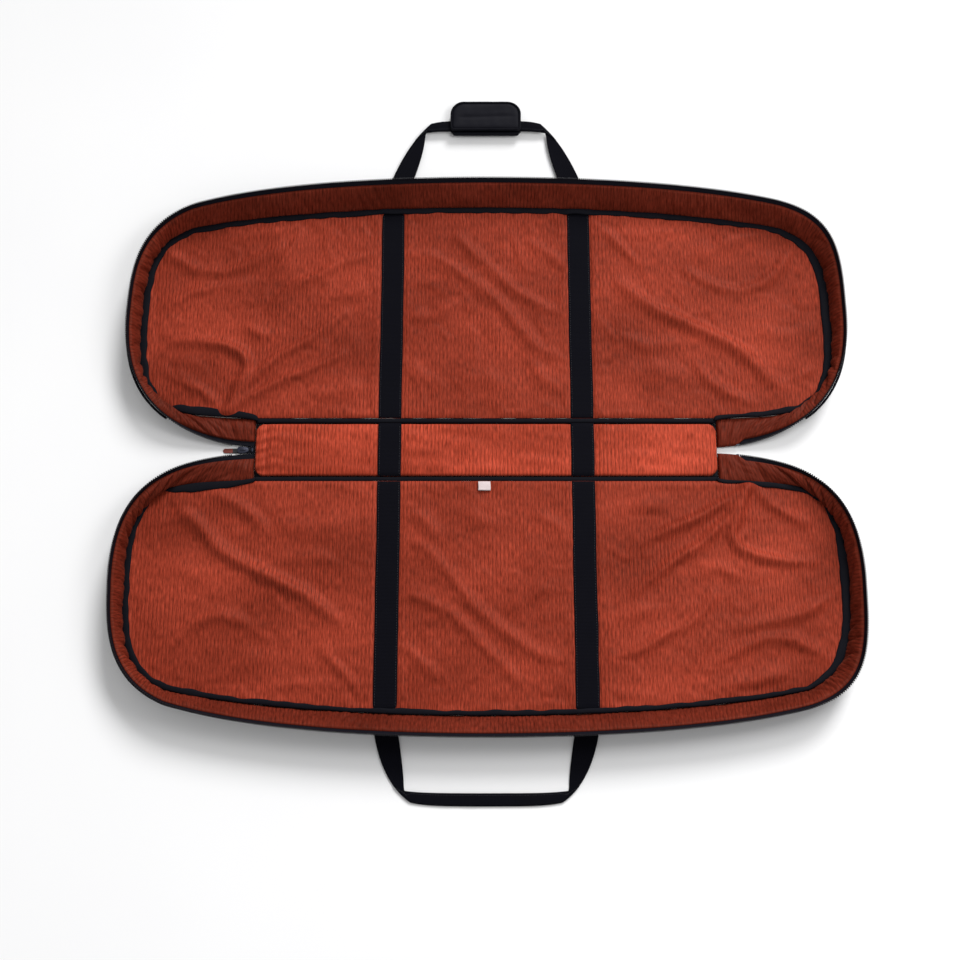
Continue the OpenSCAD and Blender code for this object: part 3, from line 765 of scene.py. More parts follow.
def roll_of_tape(centre, across, half_w, half_h, count=14, power=0.8):
    """Rings of a flattened roll along a line: across it and upwards, with rounded ends."""
    angle = np.linspace(0, 2 * math.pi, count, endpoint=False)
    side = np.sign(np.cos(angle)) * np.abs(np.cos(angle)) ** power
    top = np.sign(np.sin(angle)) * np.abs(np.sin(angle)) ** power
    run = run_of(centre)
    ends = np.minimum(run, run[-1] - run)
    taper = np.sqrt(np.clip(1 - (1 - np.clip(ends / 0.004, 0, 1)) ** 2, 0.04, 1))[:, None, None]
    upwards = np.cross(unit(np.gradient(centre, axis=0)), across)
    upwards *= np.sign(upwards[:, 2:3] + 1e-9)
    return centre[:, None] + taper * (side[None, :, None] * (half_w[:, None] * across)[:, None]
                                      + top[None, :, None] * (half_h[:, None] * upwards)[:, None])


def bump_at(value, centre, spread):
    return np.exp(-((value - centre) / spread) ** 2)


ROUND_COUNT = 900
FOLD_COUNT = 420
panel_run = run_of(panel_line)
panel_way = resample(np.column_stack([panel_line, panel_out[:, :2], from_spine, panel_run]), ROUND_COUNT)
way_out = unit(np.column_stack([panel_way[:, 2:4], np.zeros(ROUND_COUNT)]))
for half in SIDE:
    seed = 90 + SIDE[half]
    x, y = panel_way[:, 0], panel_way[:, 1]
    run = panel_way[:, 5]
    at_end = (np.clip((np.abs(x) - 0.46) / 0.08, 0, 1) * np.clip((y - 0.06) / 0.05, 0, 1)
              * np.clip((0.40 - y) / 0.06, 0, 1))
    on_right = np.clip(x / 0.4, 0, 1)
    half_w = (0.0052 if half == "base" else 0.0043) + at_end * (0.0014 + 0.0014 * on_right)
    half_w = half_w + 0.0007 * roll(run, run * 0, 0.11, seed)
    near_end = bump_at(np.abs(x), 0.47, 0.05) * (y < 0.12)
    half_w += 0.0030 * near_end * (x < 0) + 0.0006 * roll(run, run * 0, 0.035, seed + 1)
    pinch = bump_at(x, 0.424, 0.012) * (y < 0.12)
    tucked = bump_at(x, -0.533, 0.016) * (y < 0.16)
    half_w = np.clip(half_w - 0.0014 * pinch - 0.0050 * tucked, 0.0016, 0.0078)
    half_h = 0.0024 + 0.0010 * pinch - 0.0010 * tucked + 0.0003 * roll(run, run * 0, 0.05, seed + 2)
    over_strap = np.clip(1 - beside_straps(x) / 0.006, 0, 1) * (y > 0.3)
    inward = half_w - 0.0004 + 0.0005 * roll(run, run * 0, 0.06, seed + 3)
    level = LINING_TOP + half_h + 0.0006 + 0.0014 * over_strap
    centre = np.column_stack([x, y, level]) - inward[:, None] * way_out
    centre[:, 2] += 0.0008 * np.clip(roll(run, run * 0, 0.08, seed + 4), 0, 1) - 0.0020 * tucked
    # Both ends run on into the piping of the fold
    joining = np.clip(1 - np.minimum(run, run[-1] - run) / 0.045, 0, 1)[:, None] ** 2
    meet = np.column_stack([np.sign(x) * (SPINE_X - 0.004), np.full(ROUND_COUNT, FOLD + 0.0012),
                            centre[:, 2] * 0.96])
    centre = centre + joining * (meet - centre)
    half_w = half_w * (1 - 0.35 * joining[:, 0])
    rings = roll_of_tape(centre, way_out, half_w, half_h)
    piece = add_rings(half + "_panel_piping_tape", rings, tape_cloth, half)
    goes(piece, half, "piping", half + "_panel_piping")

    xs = np.linspace(-SPINE_X, SPINE_X, FOLD_COUNT)
    wave = 0.0003 * roll(xs, xs * 0, 0.10, seed + 5)
    half_w = 0.0045 + 0.0003 * roll(xs, xs * 0, 0.05, seed + 6)
    half_h = np.full(FOLD_COUNT, 0.0037)
    # The roll turns about the fold, so on the spine's side it keeps to a round section
    centre = np.column_stack([xs, FOLD - 0.0040 + half_w + 0.2 * np.abs(wave), FOLD_Z + 0.0003 + 0.3 * wave])
    across = np.tile((0.0, 1.0, 0.0), (FOLD_COUNT, 1))
    rings = roll_of_tape(centre, across, half_w, half_h)
    piece = add_rings(half + "_fold_piping_tape", rings, tape_cloth, half)
    goes(piece, half, "piping", half + "_fold_piping")

    body = (step_of >= 4) & (step_of <= LAST - 4)
    middle = wall_point(np.array([[FABRIC_TOP + 0.003]]), np.array([[WALL_T + 0.0022]]))[:, 0][body]
    angle = np.linspace(0, 2 * math.pi, 10, endpoint=False)
    radius = 0.0020 + 0.00012 * roll(wall_run[body], wall_run[body] * 0, 0.03, seed + 7)[:, None, None]
    rings = middle[:, None] + radius * (np.cos(angle)[None, :, None] * wall_out[body][:, None]
                                        + np.sin(angle)[None, :, None] * wall_up[body][:, None])
    piece = add_rings(half + "_rim_piping_cord", rings, tape_cloth, half)
    bends(piece, half, "piping", half + "_rim_piping")


# ---- Webbing straps ------------------------------------------------------------------------------
# Black woven webbing, a hand's breadth apart, is sewn flat on the lining from fold to far seam.
# The same webbing runs under the panels outside, and turns into the two carrying handles.

webbing = Finish("black_webbing", 0.78)
web_rows = webbing.math("MULTIPLY", webbing.waves(0, 0.0022, 0.5), webbing.waves(1, 0.0017, 0.5))
web_worn = webbing.noise(14, 4)
web_new = webbing.ramp(web_rows, (0.0014, 0.0014, 0.0032), (0.0042, 0.0042, 0.0080))
web_rubbed = webbing.ramp(web_rows, (0.0022, 0.0022, 0.0045), (0.0066, 0.0066, 0.0115))
webbing.colour(webbing.blend(web_worn, web_new, web_rubbed))
webbing.rough(web_worn, 0.66, 0.88).bump(web_rows, 0.0004, 0.7).bump(webbing.noise(90, 3), 0.0006, 0.3)
webbing.set(Sheen_Weight=0.0, Specular_IOR_Level=0.055)
thread = Finish("black_thread", 0.55)
thread_twist = thread.waves(0, 0.0009)
thread.colour(thread.ramp(thread_twist, (0.010, 0.010, 0.014), (0.035, 0.035, 0.044)))
thread.bump(thread_twist, 0.0001)
STITCH_PITCH = 0.0042
STITCH_LENGTH = 0.0027
STITCH_RADIUS = 0.00028
# Each stitch is a row of six-sided rings: place along it, size, and rise off the cloth
STITCH_RINGS = ((-1, 0.25, -0.2), (-0.6, 1, 0.8), (0, 1.1, 1.1), (0.6, 1, 0.8), (1, 0.25, -0.2))


def add_stitches(name, line, lifts, half="base"):
    """A row of short stitches along a line; lifts says which way is up off the cloth at each point."""
    run = run_of(line)
    at = np.arange(STITCH_PITCH, run[-1] - STITCH_PITCH, STITCH_PITCH)
    here = np.stack([np.interp(at, run, line[:, i]) for i in range(3)], axis=1)
    ahead = unit(np.stack([np.interp(at + 0.0005, run, line[:, i]) for i in range(3)], axis=1) - here)
    up = unit(np.stack([np.interp(at, run, lifts[:, i]) for i in range(3)], axis=1))
    side = np.cross(ahead, up)
    points, faces = [], []
    for part, size, rise in STITCH_RINGS:
        for turn in range(6):
            around = turn * math.pi / 3
            off = size * math.cos(around) * side + (rise + size * math.sin(around)) * up
            points.append(here + part * STITCH_LENGTH / 2 * ahead + STITCH_RADIUS * off)
    points = np.stack(points, axis=1)
    one = grid_faces(5, 6, closed=True).tolist()
    for i in range(len(at)):
        faces += [[f + i * 30 for f in face] for face in one]
        faces += [[i * 30 + j for j in range(6)], [i * 30 + 24 + j for j in (5, 4, 3, 2, 1, 0)]]
    places = np.broadcast_to(at[:, None, None], (len(at), 30, 2))
    return add_mesh(name, points, faces, places, thread, half, tidy=True)


def add_strap(name, x_middle, from_y, to_y, z_low, z_high, seed, half, body, node, top=True, droop=0.0):
    """A flat strap along y with slightly wavy edges, thicker at its two woven edges; its ends droop."""
    rows, columns = 150, 15
    ys = np.linspace(from_y, to_y, rows)[:, None]
    share = np.linspace(-1, 1, columns)[None, :]
    edge = STRAP_W / 2 * (1 + 0.016 * roll(ys, share * 0 + np.sign(share), 0.12, seed))
    xs = x_middle + share * edge + 0.0006 * roll(ys, ys * 0, 0.18, seed + 1)
    wave = 0.00025 * roll(ys, share * 0.02, 0.05, seed + 2)
    selvedge = (0.00025 * np.exp(-((np.abs(share) - 0.93) / 0.05) ** 2)
                - 0.0003 * np.exp(-((np.abs(share) - 0.83) / 0.03) ** 2))
    face = (z_high if top else z_low) + (1 if top else -1) * (selvedge - 0.0002) + wave * (1 if top else 0)
    face = face - droop * np.exp(-np.minimum(ys - from_y, to_y - ys) / 0.004)
    grid = np.stack(np.broadcast_arrays(xs, ys, face), axis=-1)
    if not top:
        grid[..., 2] = np.maximum(grid[..., 2], z_low)
    strap = add_sheet(name, grid, webbing, half, flip=top)
    goes(thicken(strap, z_high - z_low - 0.0003), body, "webbing", node)
    for side, column in (("left", 1), ("right", columns - 2)):
        lift = np.tile((0.0, 0.0, 1.0 if top else -1.0), (rows, 1))
        line = grid[:, column].copy()
        line[:, 2] += 0.0001 if top else 0.0003
        row = add_stitches(name + "_stitches_" + side, line, lift, half=half)
        goes(row, body, "webbing")


STRAP_SIDES = (("left", -1), ("right", 1))
for half in SIDE:
    for number, (side, sign) in enumerate(STRAP_SIDES):
        node = half + "_inner_strap_" + side
        low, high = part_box(node)
        near, far = sorted((abs(low.y - MIDDLE), abs(high.y - MIDDLE)))
        add_strap(node + "_webbing", sign * STRAP_X, near - 0.0012, far + 0.001, low.z, high.z + 0.0006,
                  100 + 7 * number + SIDE[half], half, half, node, droop=0.0016)
        node = half + "_carry_strap_" + side
        low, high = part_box(node)
        near, far = sorted((abs(low.y - MIDDLE), abs(high.y - MIDDLE)))
        add_strap(node + "_webbing", sign * STRAP_X, near, far, low.z, high.z,
                  120 + 7 * number + SIDE[half], half, half, node, top=False)

for number, (side, sign) in enumerate(STRAP_SIDES):
    node = "spine_inner_strap_" + side
    low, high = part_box(node)
    add_strap(node + "_webbing", sign * STRAP_X, -SPINE_Y - 0.0002, SPINE_Y + 0.0002, low.z + 0.0010,
              high.z + 0.0024, 140 + 7 * number, "base", "spine", node, droop=0.0030)
    node = "spine_carry_strap_" + side
    low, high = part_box(node)
    add_strap(node + "_webbing", sign * STRAP_X, low.y - MIDDLE, high.y - MIDDLE, low.z, high.z,
              150 + 7 * number, "base", "spine", node, top=False)


# ---- Zip round both rims -------------------------------------------------------------------------
# A heavy plastic-toothed zip joins the two rims.  Its two halves part round the whole bag and stay
# joined at the spine's left end, where the slider waits.  A stop is pressed on each row at the other end.

zip_cloth = Finish("black_zip_tape", 0.7)
zip_weave = zip_cloth.waves(1, 0.0013, 0.5)
zip_cloth.colour(zip_cloth.ramp(zip_weave, (0.0022, 0.0023, 0.0045), (0.0072, 0.0074, 0.0130)))
zip_cloth.rough(zip_cloth.noise(20, 3), 0.60, 0.80).bump(zip_weave, 0.0003, 0.6)
zip_cloth.set(Sheen_Weight=0.0, Specular_IOR_Level=0.09)
teeth_plastic = Finish("black_zip_teeth", 0.38)
teeth_cloud = teeth_plastic.noise(300, 2)
teeth_plastic.colour(teeth_plastic.ramp(teeth_cloud, (0.003, 0.003, 0.005), (0.009, 0.009, 0.013)))
teeth_plastic.bump(teeth_plastic.noise(900, 2), 0.0001).set(Specular_IOR_Level=0.2)
metal = Finish("dark_zip_metal", 0.36)
metal_wear = metal.noise(160, 4, where="Object")
metal.colour(metal.ramp(metal_wear, (0.020, 0.022, 0.038), (0.040, 0.043, 0.066), 0.3, 0.7))
metal.rough(metal_wear, 0.34, 0.54).bump(metal.noise(700, 2, where="Object"), 0.0001)
metal.set(Metallic=0.35, Specular_IOR_Level=0.3)

TEETH_OUT = 0.0010
TEETH_T = 0.0030
TOOTH_PITCH = 0.0034
zip_part = (step_of >= 1) & (step_of <= LAST - 1)
tape_part = step_of >= 1
for half in SIDE:
    share = np.linspace(0, 1, 7)[None, :]
    down = TEETH_W - 0.0006 + share * (TAPE_W + 0.0020)
    limp = 0.0004 * roll(wall_run[:, None], share * 0, 0.07, 160 + SIDE[half]) * np.sin(math.pi * share)
    grid = wall_point(np.broadcast_to(down, (len(wall_run), 7)), 0.0021 + limp)[tape_part]
    piece = add_sheet(half + "_zip_tape_cloth", grid, zip_cloth, half)
    bends(thicken(piece, 0.0007), half, "zip_tape", half + "_zip_tape")

    run = wall_run[zip_part]
    at = np.arange(run[0] + 0.002, run[-1] - 0.002, TOOTH_PITCH)
    heads, ups, outs = (np.stack([np.interp(at, run, v[zip_part][:, i]) for i in range(3)], axis=1)
                        for v in (wall_head, wall_up, wall_out))
    along = unit(np.cross(ups, outs))
    profile = [(-0.0010, 0.0006), (-0.0010, 0.0020), (-0.0004, TEETH_W), (0.0004, TEETH_W), (0.0010, 0.0020),
               (0.0010, 0.0006), (0.0005, 0.0), (-0.0005, 0.0)]
    points = []
    for out, shrink in ((0.0, 0.7), (0.0005, 1.0), (TEETH_T - 0.0005, 1.0), (TEETH_T, 0.7)):
        for a, d in profile:
            points.append(heads + a * shrink * along - (TEETH_W / 2 + (d - TEETH_W / 2) * shrink) * ups
                          + (TEETH_OUT + out) * outs)
    points = np.stack(points, axis=1)
    one = grid_faces(4, 8, closed=True).tolist() + [list(range(8)), [24 + i for i in range(8)]]
    faces = [[f + i * 32 for f in face] for i in range(len(at)) for face in one]
    places = np.broadcast_to(at[:, None, None], (len(at), 32, 2))
    piece = add_mesh(half + "_zip_teeth_row", points, faces, places, teeth_plastic, half, tidy=True)
    bends(piece, half, "zip_teeth", half + "_zip_teeth")


def rounded_block(low, high, radius):
    """Rings of a block with rounded edges, from its low end to its high end in z."""
    turns = 16
    low, high = np.array(low, float), np.array(high, float)
    middle, reach = (low + high) / 2, (high - low) / 2 - radius
    lean = np.concatenate([np.linspace(-80, -8, 4), np.linspace(8, 80, 4)]) * math.pi / 180
    turn = (np.arange(turns) + 0.5) * 2 * math.pi / turns
    rings = []
    for tilt in lean:
        away = np.column_stack([np.cos(turn) * math.cos(tilt), np.sin(turn) * math.cos(tilt),
                                np.full(turns, math.sin(tilt))])
        rings.append(middle + np.sign(away) * reach + away * radius)
    return np.array(rings)


def local(node):
    low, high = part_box(node)
    return np.array((low.x, low.y - MIDDLE, low.z)), np.array((high.x, high.y - MIDDLE, high.z))


for half in SIDE:
    low, high = local(half + "_zip_top_stop")
    low[1], high[1] = sorted((abs(low[1]), abs(high[1])))
    stop = add_rings(half + "_zip_top_stop_clamp", rounded_block(low, high, 0.0006), metal, half)
    bends(stop, half, "zip_metal", half + "_zip_top_stop")

low, high = local("zip_bottom_stop")
stop = add_rings("zip_bottom_stop_clamp", rounded_block(low, high, 0.0006), metal)
goes(stop, "spine", "zip_metal", "zip_bottom_stop")

# The joined end: two rows of teeth that mesh between two short tapes
low, high = local("zip_closed_end")
xs = np.linspace(low[0], high[0], 18)[:, None]
ys = np.linspace(low[1] - 0.002, high[1] + 0.002, 12)[None, :]
sag = 0.0003 * np.sin(xs * 900) + 0.0004 * (ys / 0.005) ** 2
ends = np.stack(np.broadcast_arrays(xs, ys, (low[2] + high[2]) / 2 + 0.0003 - sag), axis=-1)
tape = add_sheet("zip_closed_end_tape", ends, zip_cloth)
goes(thicken(tape, 0.0008), "spine", "zip_tape", "zip_closed_end")
for number, x in enumerate(np.arange(low[0] + 0.0012, high[0] - 0.0006, 0.0019)):
    y = 0.0005 if number % 2 else -0.0005
    block = rounded_block((x - 0.0007, y - 0.0017, low[2]), (x + 0.0007, y + 0.0017, high[2]), 0.0005)
    goes(add_rings("zip_closed_tooth_%d" % number, block, teeth_plastic), "spine", "zip_teeth")

# The slider: two plates, wide where the rows part, with a bridge between them and a loop for the pull
low, high = local("zip_slider")
length, width = high[0] - low[0], high[1] - low[1]


def shield(z_low, z_high):
    """Rings of one plate of the slider, wider at its left end."""
    angle = np.linspace(0, 2 * math.pi, 40, endpoint=False)
    x = np.sign(np.cos(angle)) * np.abs(np.cos(angle)) ** 0.7
    y = np.sign(np.sin(angle)) * np.abs(np.sin(angle)) ** 0.7 * (0.98 - 0.16 * x)
    middle = (low[0] + high[0]) / 2
    rings = []
    for z, inset in ((z_low, 0.0006), (z_low + 0.0003, 0), (z_high - 0.0005, 0), (z_high, 0.0007)):
        rings.append(np.column_stack([middle + x * (length / 2 - inset), y * (width / 2 - inset),
                                      np.full(40, z)]))
    return np.array(rings)


PLATE_T = 0.0013
plate = add_rings("zip_slider_lower_plate", shield(low[2], low[2] + PLATE_T), metal)
goes(plate, "slider", "zip_metal", "zip_slider")
plate = add_rings("zip_slider_upper_plate", shield(high[2] - PLATE_T, high[2]), metal)
goes(plate, "slider", "zip_metal")
bridge = rounded_block((low[0] + 0.0006, -0.0016, low[2] + 0.0006),
                       (low[0] + 0.0048, 0.0016, high[2] - 0.0006), 0.0008)
goes(add_rings("zip_slider_bridge", bridge, metal), "slider", "zip_metal")
turn = np.linspace(0, math.pi, 22)
centre = np.column_stack([(low[0] + high[0]) / 2 + 0.0048 * np.cos(turn), np.zeros(22),
                          high[2] - 0.0006 + 0.0026 * np.sin(turn)])
across = np.tile((0.0, 1.0, 0.0), (22, 1))
rings = roll_of_tape(centre, across, np.full(22, 0.0013), np.full(22, 0.0006), power=1.0)
goes(add_rings("zip_slider_loop", rings, metal), "slider", "zip_metal")

# The pull: a short rust tab of woven tape, sewn round the slider's lower ring
pull_cloth = Finish("rust_pull_tab", 0.65)
pull_weave = pull_cloth.math("MULTIPLY", pull_cloth.waves(0, 0.0014, 0.4), pull_cloth.waves(1, 0.0014, 0.4))
pull_rust = pull_cloth.ramp(pull_weave, (0.130, 0.018, 0.009), (0.320, 0.045, 0.022))
pull_black = pull_cloth.ramp(pull_weave, (0.002, 0.002, 0.004), (0.008, 0.008, 0.013))
pull_along = pull_cloth.node("SeparateXYZ", {0: pull_cloth.place.outputs["UV"]}).outputs[0]
pull_change = pull_cloth.math("GREATER_THAN", pull_along, 0.016)
pull_cloth.colour(pull_cloth.blend(pull_change, pull_rust, pull_black))
pull_cloth.bump(pull_weave, 0.0003, 0.7).set(Sheen_Weight=0.2)
low, high = local("zip_pull")
xs = np.linspace(low[0], high[0], 40)
edge = np.minimum(xs - low[0], high[0] - xs)
half_w = (high[1] - low[1]) / 2 * np.sqrt(np.clip(1 - (1 - np.clip(edge / 0.003, 0, 1)) ** 2, 0.15, 1))
half_h = np.full(40, (high[2] - low[2]) / 2 - 0.0001)
centre = np.column_stack([xs, np.zeros(40), np.full(40, (low[2] + high[2]) / 2)])
across = np.tile((0.0, 1.0, 0.0), (40, 1))
rings = roll_of_tape(centre, across, half_w, half_h, power=0.6)
goes(add_rings("zip_pull_tab", rings, pull_cloth), "pull", "pull_cord", "zip_pull")


# ---- Carrying handles ----------------------------------------------------------------------------
# Each handle is one length of webbing whose legs come out from under the far seams.
# At the corners the webbing is folded in half lengthwise, and the bar between them is double and narrow.

def handle_edges(reach, lean, bar_w, foot):
    """Inner and outer edges from the right leg's foot to the bar's middle, and then mirrored."""
    in_x = STRAP_X - STRAP_W / 2
    out_x = STRAP_X + STRAP_W / 2
    bar = reach - bar_w
    turn_x = in_x - lean
    t = np.linspace(0, 1, 60)
    leg = [(in_x, 0), (in_x - lean / 2, bar * 0.4), (turn_x, bar * 0.7), (turn_x, bar - 0.004)]
    rest = [(turn_x, bar - 0.004), (turn_x - 0.026, bar), (turn_x / 3, bar), (0, bar)]
    inner = np.concatenate([bezier(leg, t[:-1]), bezier(rest, t)])
    leg = [(out_x, 0), (out_x - lean / 2, reach * 0.38), (turn_x + 0.026, reach * 0.76),
           (turn_x - 0.010, reach - 0.006)]
    rest = [(turn_x - 0.010, reach - 0.006), (turn_x - 0.034, reach), (turn_x / 3, reach), (0, reach)]
    outer = np.concatenate([bezier(leg, t[:-1]), bezier(rest, t)])
    inner[:, 1] += foot
    outer[:, 1] += foot
    flip = np.array((-1, 1))
    return np.concatenate([inner, inner[-2::-1] * flip]), np.concatenate([outer, outer[-2::-1] * flip])


def add_handle(half, reach, lean, bar_w, rise, seed):
    """A handle of one half: the strip of webbing, and its folded-over half on top with a row of stitches."""
    body = half + "_handle"
    node = body + "_webbing"
    low, high = local(node)
    foot = min(abs(low[1]), abs(high[1]))
    inner, outer = handle_edges(reach, lean, bar_w, foot)
    share = np.linspace(0, 1, len(inner))
    leg = np.minimum(share, 1 - share) * 2
    across = np.linspace(0, 1, 15)[None, :]
    lift = rise * np.clip(leg * 1.6, 0, 1)[:, None]
    wobble = 0.0010 * roll(inner[:, :1], inner[:, 1:], 0.10, seed) * np.clip(leg * 4, 0, 1)[:, None]
    flat = inner[:, None] * (1 - across[..., None]) + outer[:, None] * across[..., None]
    flat[:, :, 1] += wobble * np.clip(leg - 0.4, 0, 1)[:, None]
    cup = 0.0007 * (np.abs(across * 2 - 1) ** 2) * np.clip(1 - leg, 0, 1)[:, None]
    bottom = low[2] + 0.0001 + lift + 0.0003 * np.abs(roll(flat[..., 0], flat[..., 1], 0.05, seed + 1)) + cup
    lower = np.concatenate([flat, bottom[..., None]], axis=-1)
    sheet = add_sheet(node + "_strip", lower, webbing, half)
    goes(thicken(sheet, 0.0018), body, "webbing", node)
    # The folded-over half of the webbing lies on top, from a slanting fold line in each corner
    reach_in = np.clip((leg - 0.34) / 0.24, 0, 1)
    reach_in = (reach_in * reach_in * (3 - 2 * reach_in))[:, None]
    doubled = reach_in[:, 0] > 0.02
    start = 1 - 0.97 * reach_in
    spread = start + (1.0 - start) * across
    top_flat = inner[:, None] * (1 - spread[..., None]) + outer[:, None] * spread[..., None]
    top_flat[:, :, 1] += wobble * np.clip(leg - 0.4, 0, 1)[:, None]
    puff = (0.0005 * np.sin(math.pi * across)
            + 0.0004 * np.abs(roll(top_flat[..., 0], top_flat[..., 1], 0.04, seed + 2)))
    top = low[2] + lift + 0.0036 + puff - 0.0006 * across
    fold_down = np.exp(-((1 - across) / 0.05) ** 2) * 0.0010
    upper = np.concatenate([top_flat, (top - fold_down)[..., None]], axis=-1)[doubled]
    sheet = add_sheet(node + "_folded_strip", upper, webbing, half, flip=True)
    goes(thicken(sheet, 0.0016), body, "webbing")
    line = upper[:, 2].copy()
    line[:, 2] += 0.0001
    row = add_stitches(node + "_stitches", line, np.tile((0.0, 0.0, 1.0), (len(line), 1)), half=half)
    goes(row, body, "webbing")


add_handle("base", reach=0.157, lean=0.034, bar_w=0.020, rise=0.0076, seed=200)
add_handle("lid", reach=0.125, lean=0.012, bar_w=0.020, rise=0.0, seed=210)


# ---- Padded grip ---------------------------------------------------------------------------------
# The grip is a padded flap that folds round the base handle's bar and holds with hook and loop tape.
# Both leaves are foam under smooth fabric, bound all round with narrow tape.

grip_cloth = Finish("grip_fabric", 0.62)
grip_weave = grip_cloth.math("MULTIPLY", grip_cloth.waves(0, 0.0009, 0.6), grip_cloth.waves(1, 0.0009, 0.6))
grip_cloth.colour(grip_cloth.ramp(grip_weave, (0.0026, 0.0026, 0.0058), (0.0080, 0.0078, 0.0140)))
grip_cloth.rough(grip_cloth.noise(40, 3), 0.52, 0.72).bump(grip_weave, 0.0002, 0.5)
grip_cloth.bump(grip_cloth.noise(70, 3), 0.0012, 0.35)
grip_cloth.set(Sheen_Weight=0.01, Sheen_Roughness=0.4, Specular_IOR_Level=0.12)
GRIP_LOW, GRIP_HIGH = local("grip_front_trim")
GRIP_TRIM, GRIP_CORNER = 0.0040, 0.024


def grip_line(inset):
    """The grip's outline: straight along the fold, with large round corners on the far side."""
    w, near = GRIP_HIGH[0] - inset, GRIP_LOW[1] + inset
    far, r = GRIP_HIGH[1] - inset, GRIP_CORNER - inset
    turn = np.linspace(0, math.pi / 2, 14)
    right = np.column_stack([w - r + r * np.cos(turn), far - r + r * np.sin(turn)])
    path = np.concatenate([[(w - 0.003, near), (w, near + 0.003)], right, right[::-1] * (-1, 1),
                           [(-w, near + 0.003), (-(w - 0.003), near)]])
    return resample(np.concatenate([path, path[:1]]), 321)[:-1]


def add_leaf(name, low_z, high_z, body, node, crease, seed):
    """A cushion: two cloths joined round their border, with a shallow crease along the upper one."""
    points, quads, border, distance = cloth_grid(grip_line(GRIP_TRIM - 0.0012), 0.0022)
    rise = np.clip(distance / 0.009, 0, 1)
    rise = np.sqrt(1 - (1 - rise) ** 2)
    x, y = points.T
    middle, reach = (low_z + high_z) / 2, (high_z - low_z) / 2
    line_y = (GRIP_LOW[1] + GRIP_HIGH[1]) / 2 - 0.002 + 0.0012 * np.sin(x * 42)
    dent = crease * np.exp(-((y - line_y) / 0.0035) ** 2) * np.clip((0.052 - np.abs(x)) / 0.02, 0, 1)
    wave = 0.0004 * roll(x, y, 0.03, seed) * rise
    upper = np.column_stack([x, y, middle + reach * rise * 0.94 - dent * rise + wave])
    lower = np.column_stack([x, y, middle - reach * rise * 0.94 + 0.5 * wave])
    inner = np.setdiff1d(np.arange(len(points)), border)
    index = np.arange(len(points))
    index[inner] = len(points) + np.arange(len(inner))
    both = np.concatenate([upper, lower[inner]])
    faces = np.concatenate([quads, index[quads][:, ::-1]])
    cushion = add_mesh(name, both, faces, np.concatenate([points, points[inner]]), grip_cloth)
    goes(finer(cushion), body, "grip_fabric", node)


def add_edge_tape(name, low_z, high_z, body, node, seed):
    """The narrow tape bound round a leaf, as a closed roll."""
    path = grip_line(GRIP_TRIM / 2)
    ahead = unit(np.roll(path, -1, 0) - np.roll(path, 1, 0))
    out = np.column_stack([ahead[:, 1], -ahead[:, 0], np.zeros(len(path))])
    run = np.linspace(0, 1, len(path), endpoint=False) * 2 * math.pi
    half_w = GRIP_TRIM / 2 * (0.96 + 0.05 * np.sin(9 * run + seed))
    half_h = (high_z - low_z) / 2 * (0.93 + 0.04 * np.sin(13 * run + seed))
    angle = np.linspace(0, 2 * math.pi, 16, endpoint=False)
    side = np.sign(np.cos(angle)) * np.abs(np.cos(angle)) ** 0.75
    top = np.sign(np.sin(angle)) * np.abs(np.sin(angle)) ** 0.75
    centre = np.column_stack([path, np.full(len(path), (low_z + high_z) / 2)])
    rings = centre[:, None] + side[None, :, None] * (half_w[:, None] * out)[:, None]
    rings[..., 2] += top[None, :] * half_h[:, None]
    faces = grid_faces(len(path) + 1, 16, closed=True) % (len(path) * 16)
    at = np.stack(np.meshgrid(run / (2 * math.pi) * 0.33, angle * 0.003, indexing="ij"), axis=-1)
    tape = add_mesh(name, rings, faces, at, tape_cloth, tidy=True)
    goes(tape, body, "grip_binding", node)


for leaf, body, crease, seed in (("back", "base_handle", 0.0, 220), ("front", "grip_flap", 0.0018, 221)):
    low, high = local("grip_%s_leaf" % leaf)
    add_leaf("grip_%s_cushion" % leaf, low[2], high[2], body, "grip_%s_leaf" % leaf, crease, seed)
    add_edge_tape("grip_%s_edge_tape" % leaf, low[2], high[2], body, "grip_%s_trim" % leaf, seed)

low, high = local("grip_fold_binding")
xs = np.linspace(low[0], high[0], 130)
radius = (high[2] - low[2]) / 2
puff = radius * (0.97 + 0.025 * roll(xs, xs * 0, 0.02, 230))
centre = np.column_stack([xs, np.full(130, (low[1] + high[1]) / 2), np.full(130, (low[2] + high[2]) / 2)])
rings = roll_of_tape(centre, np.tile((0.0, 1.0, 0.0), (130, 1)), puff, puff, count=20, power=0.95)
binding = add_rings("grip_fold_binding_roll", rings, tape_cloth)
goes(binding, "base_handle", "grip_binding", "grip_fold_binding")

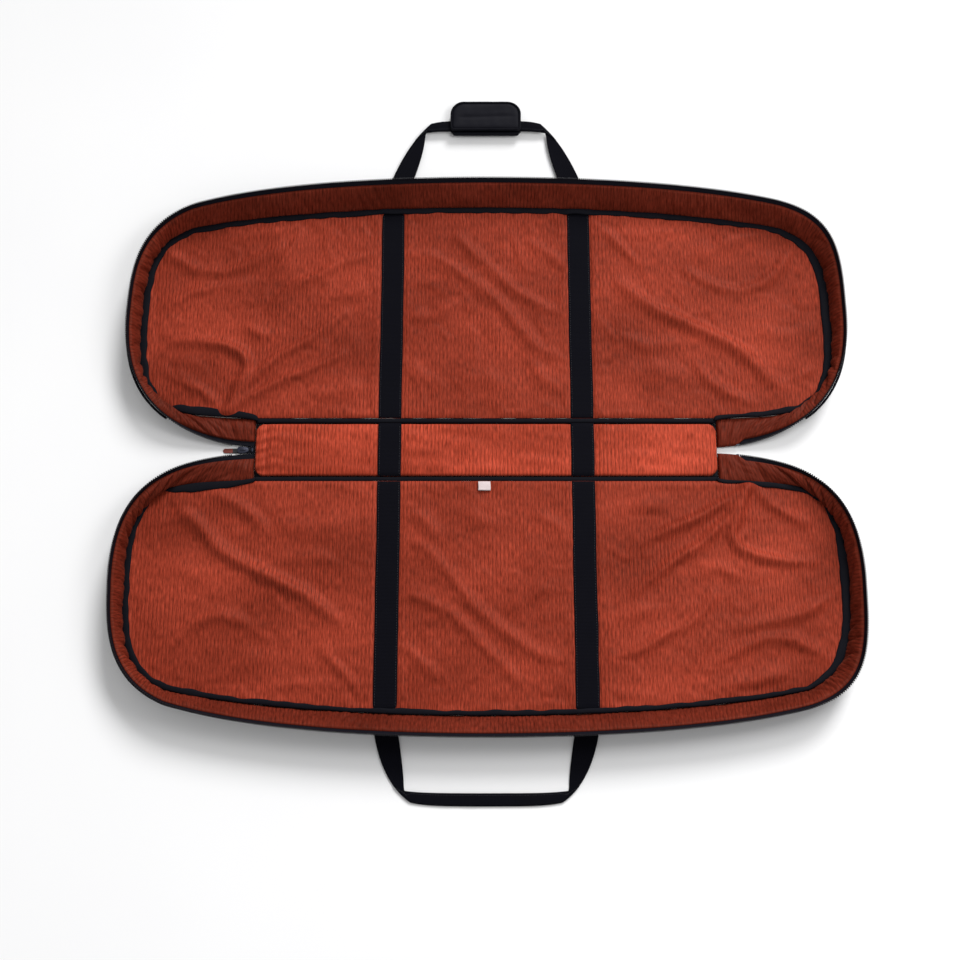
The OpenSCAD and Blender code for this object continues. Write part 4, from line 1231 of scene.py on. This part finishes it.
hook = Finish("hook_tape", 0.55)
hook.colour(hook.ramp(hook.noise(500, 2), (0.008, 0.008, 0.011), (0.030, 0.030, 0.036)))
hook.bump(hook.noise(900, 2), 0.0003)
loop_pile = Finish("loop_tape", 0.95)
loop_pile.colour(loop_pile.ramp(loop_pile.noise(700, 3), (0.006, 0.006, 0.009), (0.026, 0.026, 0.032)))
loop_pile.bump(loop_pile.noise(800, 4), 0.0006).set(Sheen_Weight=0.4)
GRIP_PATCHES = (("grip_hook_patch", "base_handle", hook, "hook_tape", True, 0.0008),
                ("grip_loop_patch", "grip_flap", loop_pile, "loop_tape", False, 0.0006))
for node, body, finish, slot, top, pitch in GRIP_PATCHES:
    low, high = local(node)
    nx, ny = int((high[0] - low[0]) / pitch), int((high[1] - low[1]) / pitch)
    gx, gy = np.meshgrid(np.linspace(low[0], high[0], nx), np.linspace(low[1], high[1], ny), indexing="ij")
    pile = np.random.default_rng(240 + top).uniform(0, 1, gx.shape)
    hooks = ((np.arange(nx)[:, None] % 2) * (np.arange(ny)[None, :] % 2)) if top else pile
    border = ((gx < low[0] + 0.002) | (gx > high[0] - 0.002)
              | (gy < low[1] + 0.0015) | (gy > high[1] - 0.0015))
    tall = (high[2] - low[2]) * np.where(border, 0.35, 0.45 + 0.5 * hooks * (0.8 + 0.2 * pile))
    face = low[2] + tall if top else high[2] - tall
    patch = add_sheet(node + "_tape", np.stack([gx, gy, face], axis=-1), finish, flip=not top)
    goes(thicken(patch, 0.0006), body, slot, node)


# ---- Care label ----------------------------------------------------------------------------------
# A small plain white satin label is caught in the lid's fold seam, folded once, and curls a little.

label_satin = Finish("white_satin", 0.5)
label_threads = label_satin.waves(0, 0.0005, 0.3)
label_satin.colour(label_satin.ramp(label_threads, (0.52, 0.42, 0.42), (0.70, 0.58, 0.58)))
label_satin.bump(label_threads, 0.0001, 0.4).set(Sheen_Weight=0.1)
low, high = local("care_label")
near, far = sorted((abs(low[1]), abs(high[1])))
share_x, share_y = np.meshgrid(np.linspace(0, 1, 26), np.linspace(0, 1, 22), indexing="ij")
curl = 0.0010 * share_y ** 2 * (1 + 0.5 * np.sin(share_x * 5 + 1)) + 0.0004 * np.sin(math.pi * share_x)
label_x = low[0] + (high[0] - low[0]) * share_x + 0.0008 * share_y * np.sin(share_y * 3)
label_y = near + 0.0007 + (far - near + 0.0005) * share_y
for number, gap in enumerate((0.0, 0.0007)):
    lift = high[2] + 0.0005 + 0.0011 * np.clip(share_y * 4, 0, 1) + gap * np.clip(share_y * 2, 0, 1)
    lift = lift + curl * (1 + 0.4 * number)
    leaf = np.stack([label_x, label_y - 0.0006 * number, lift], axis=-1)
    sheet = add_sheet("care_label_leaf_%d" % number, leaf, label_satin, "lid")
    goes(thicken(sheet, 0.00025), "lid", "label", *([] if number else ["care_label"]))
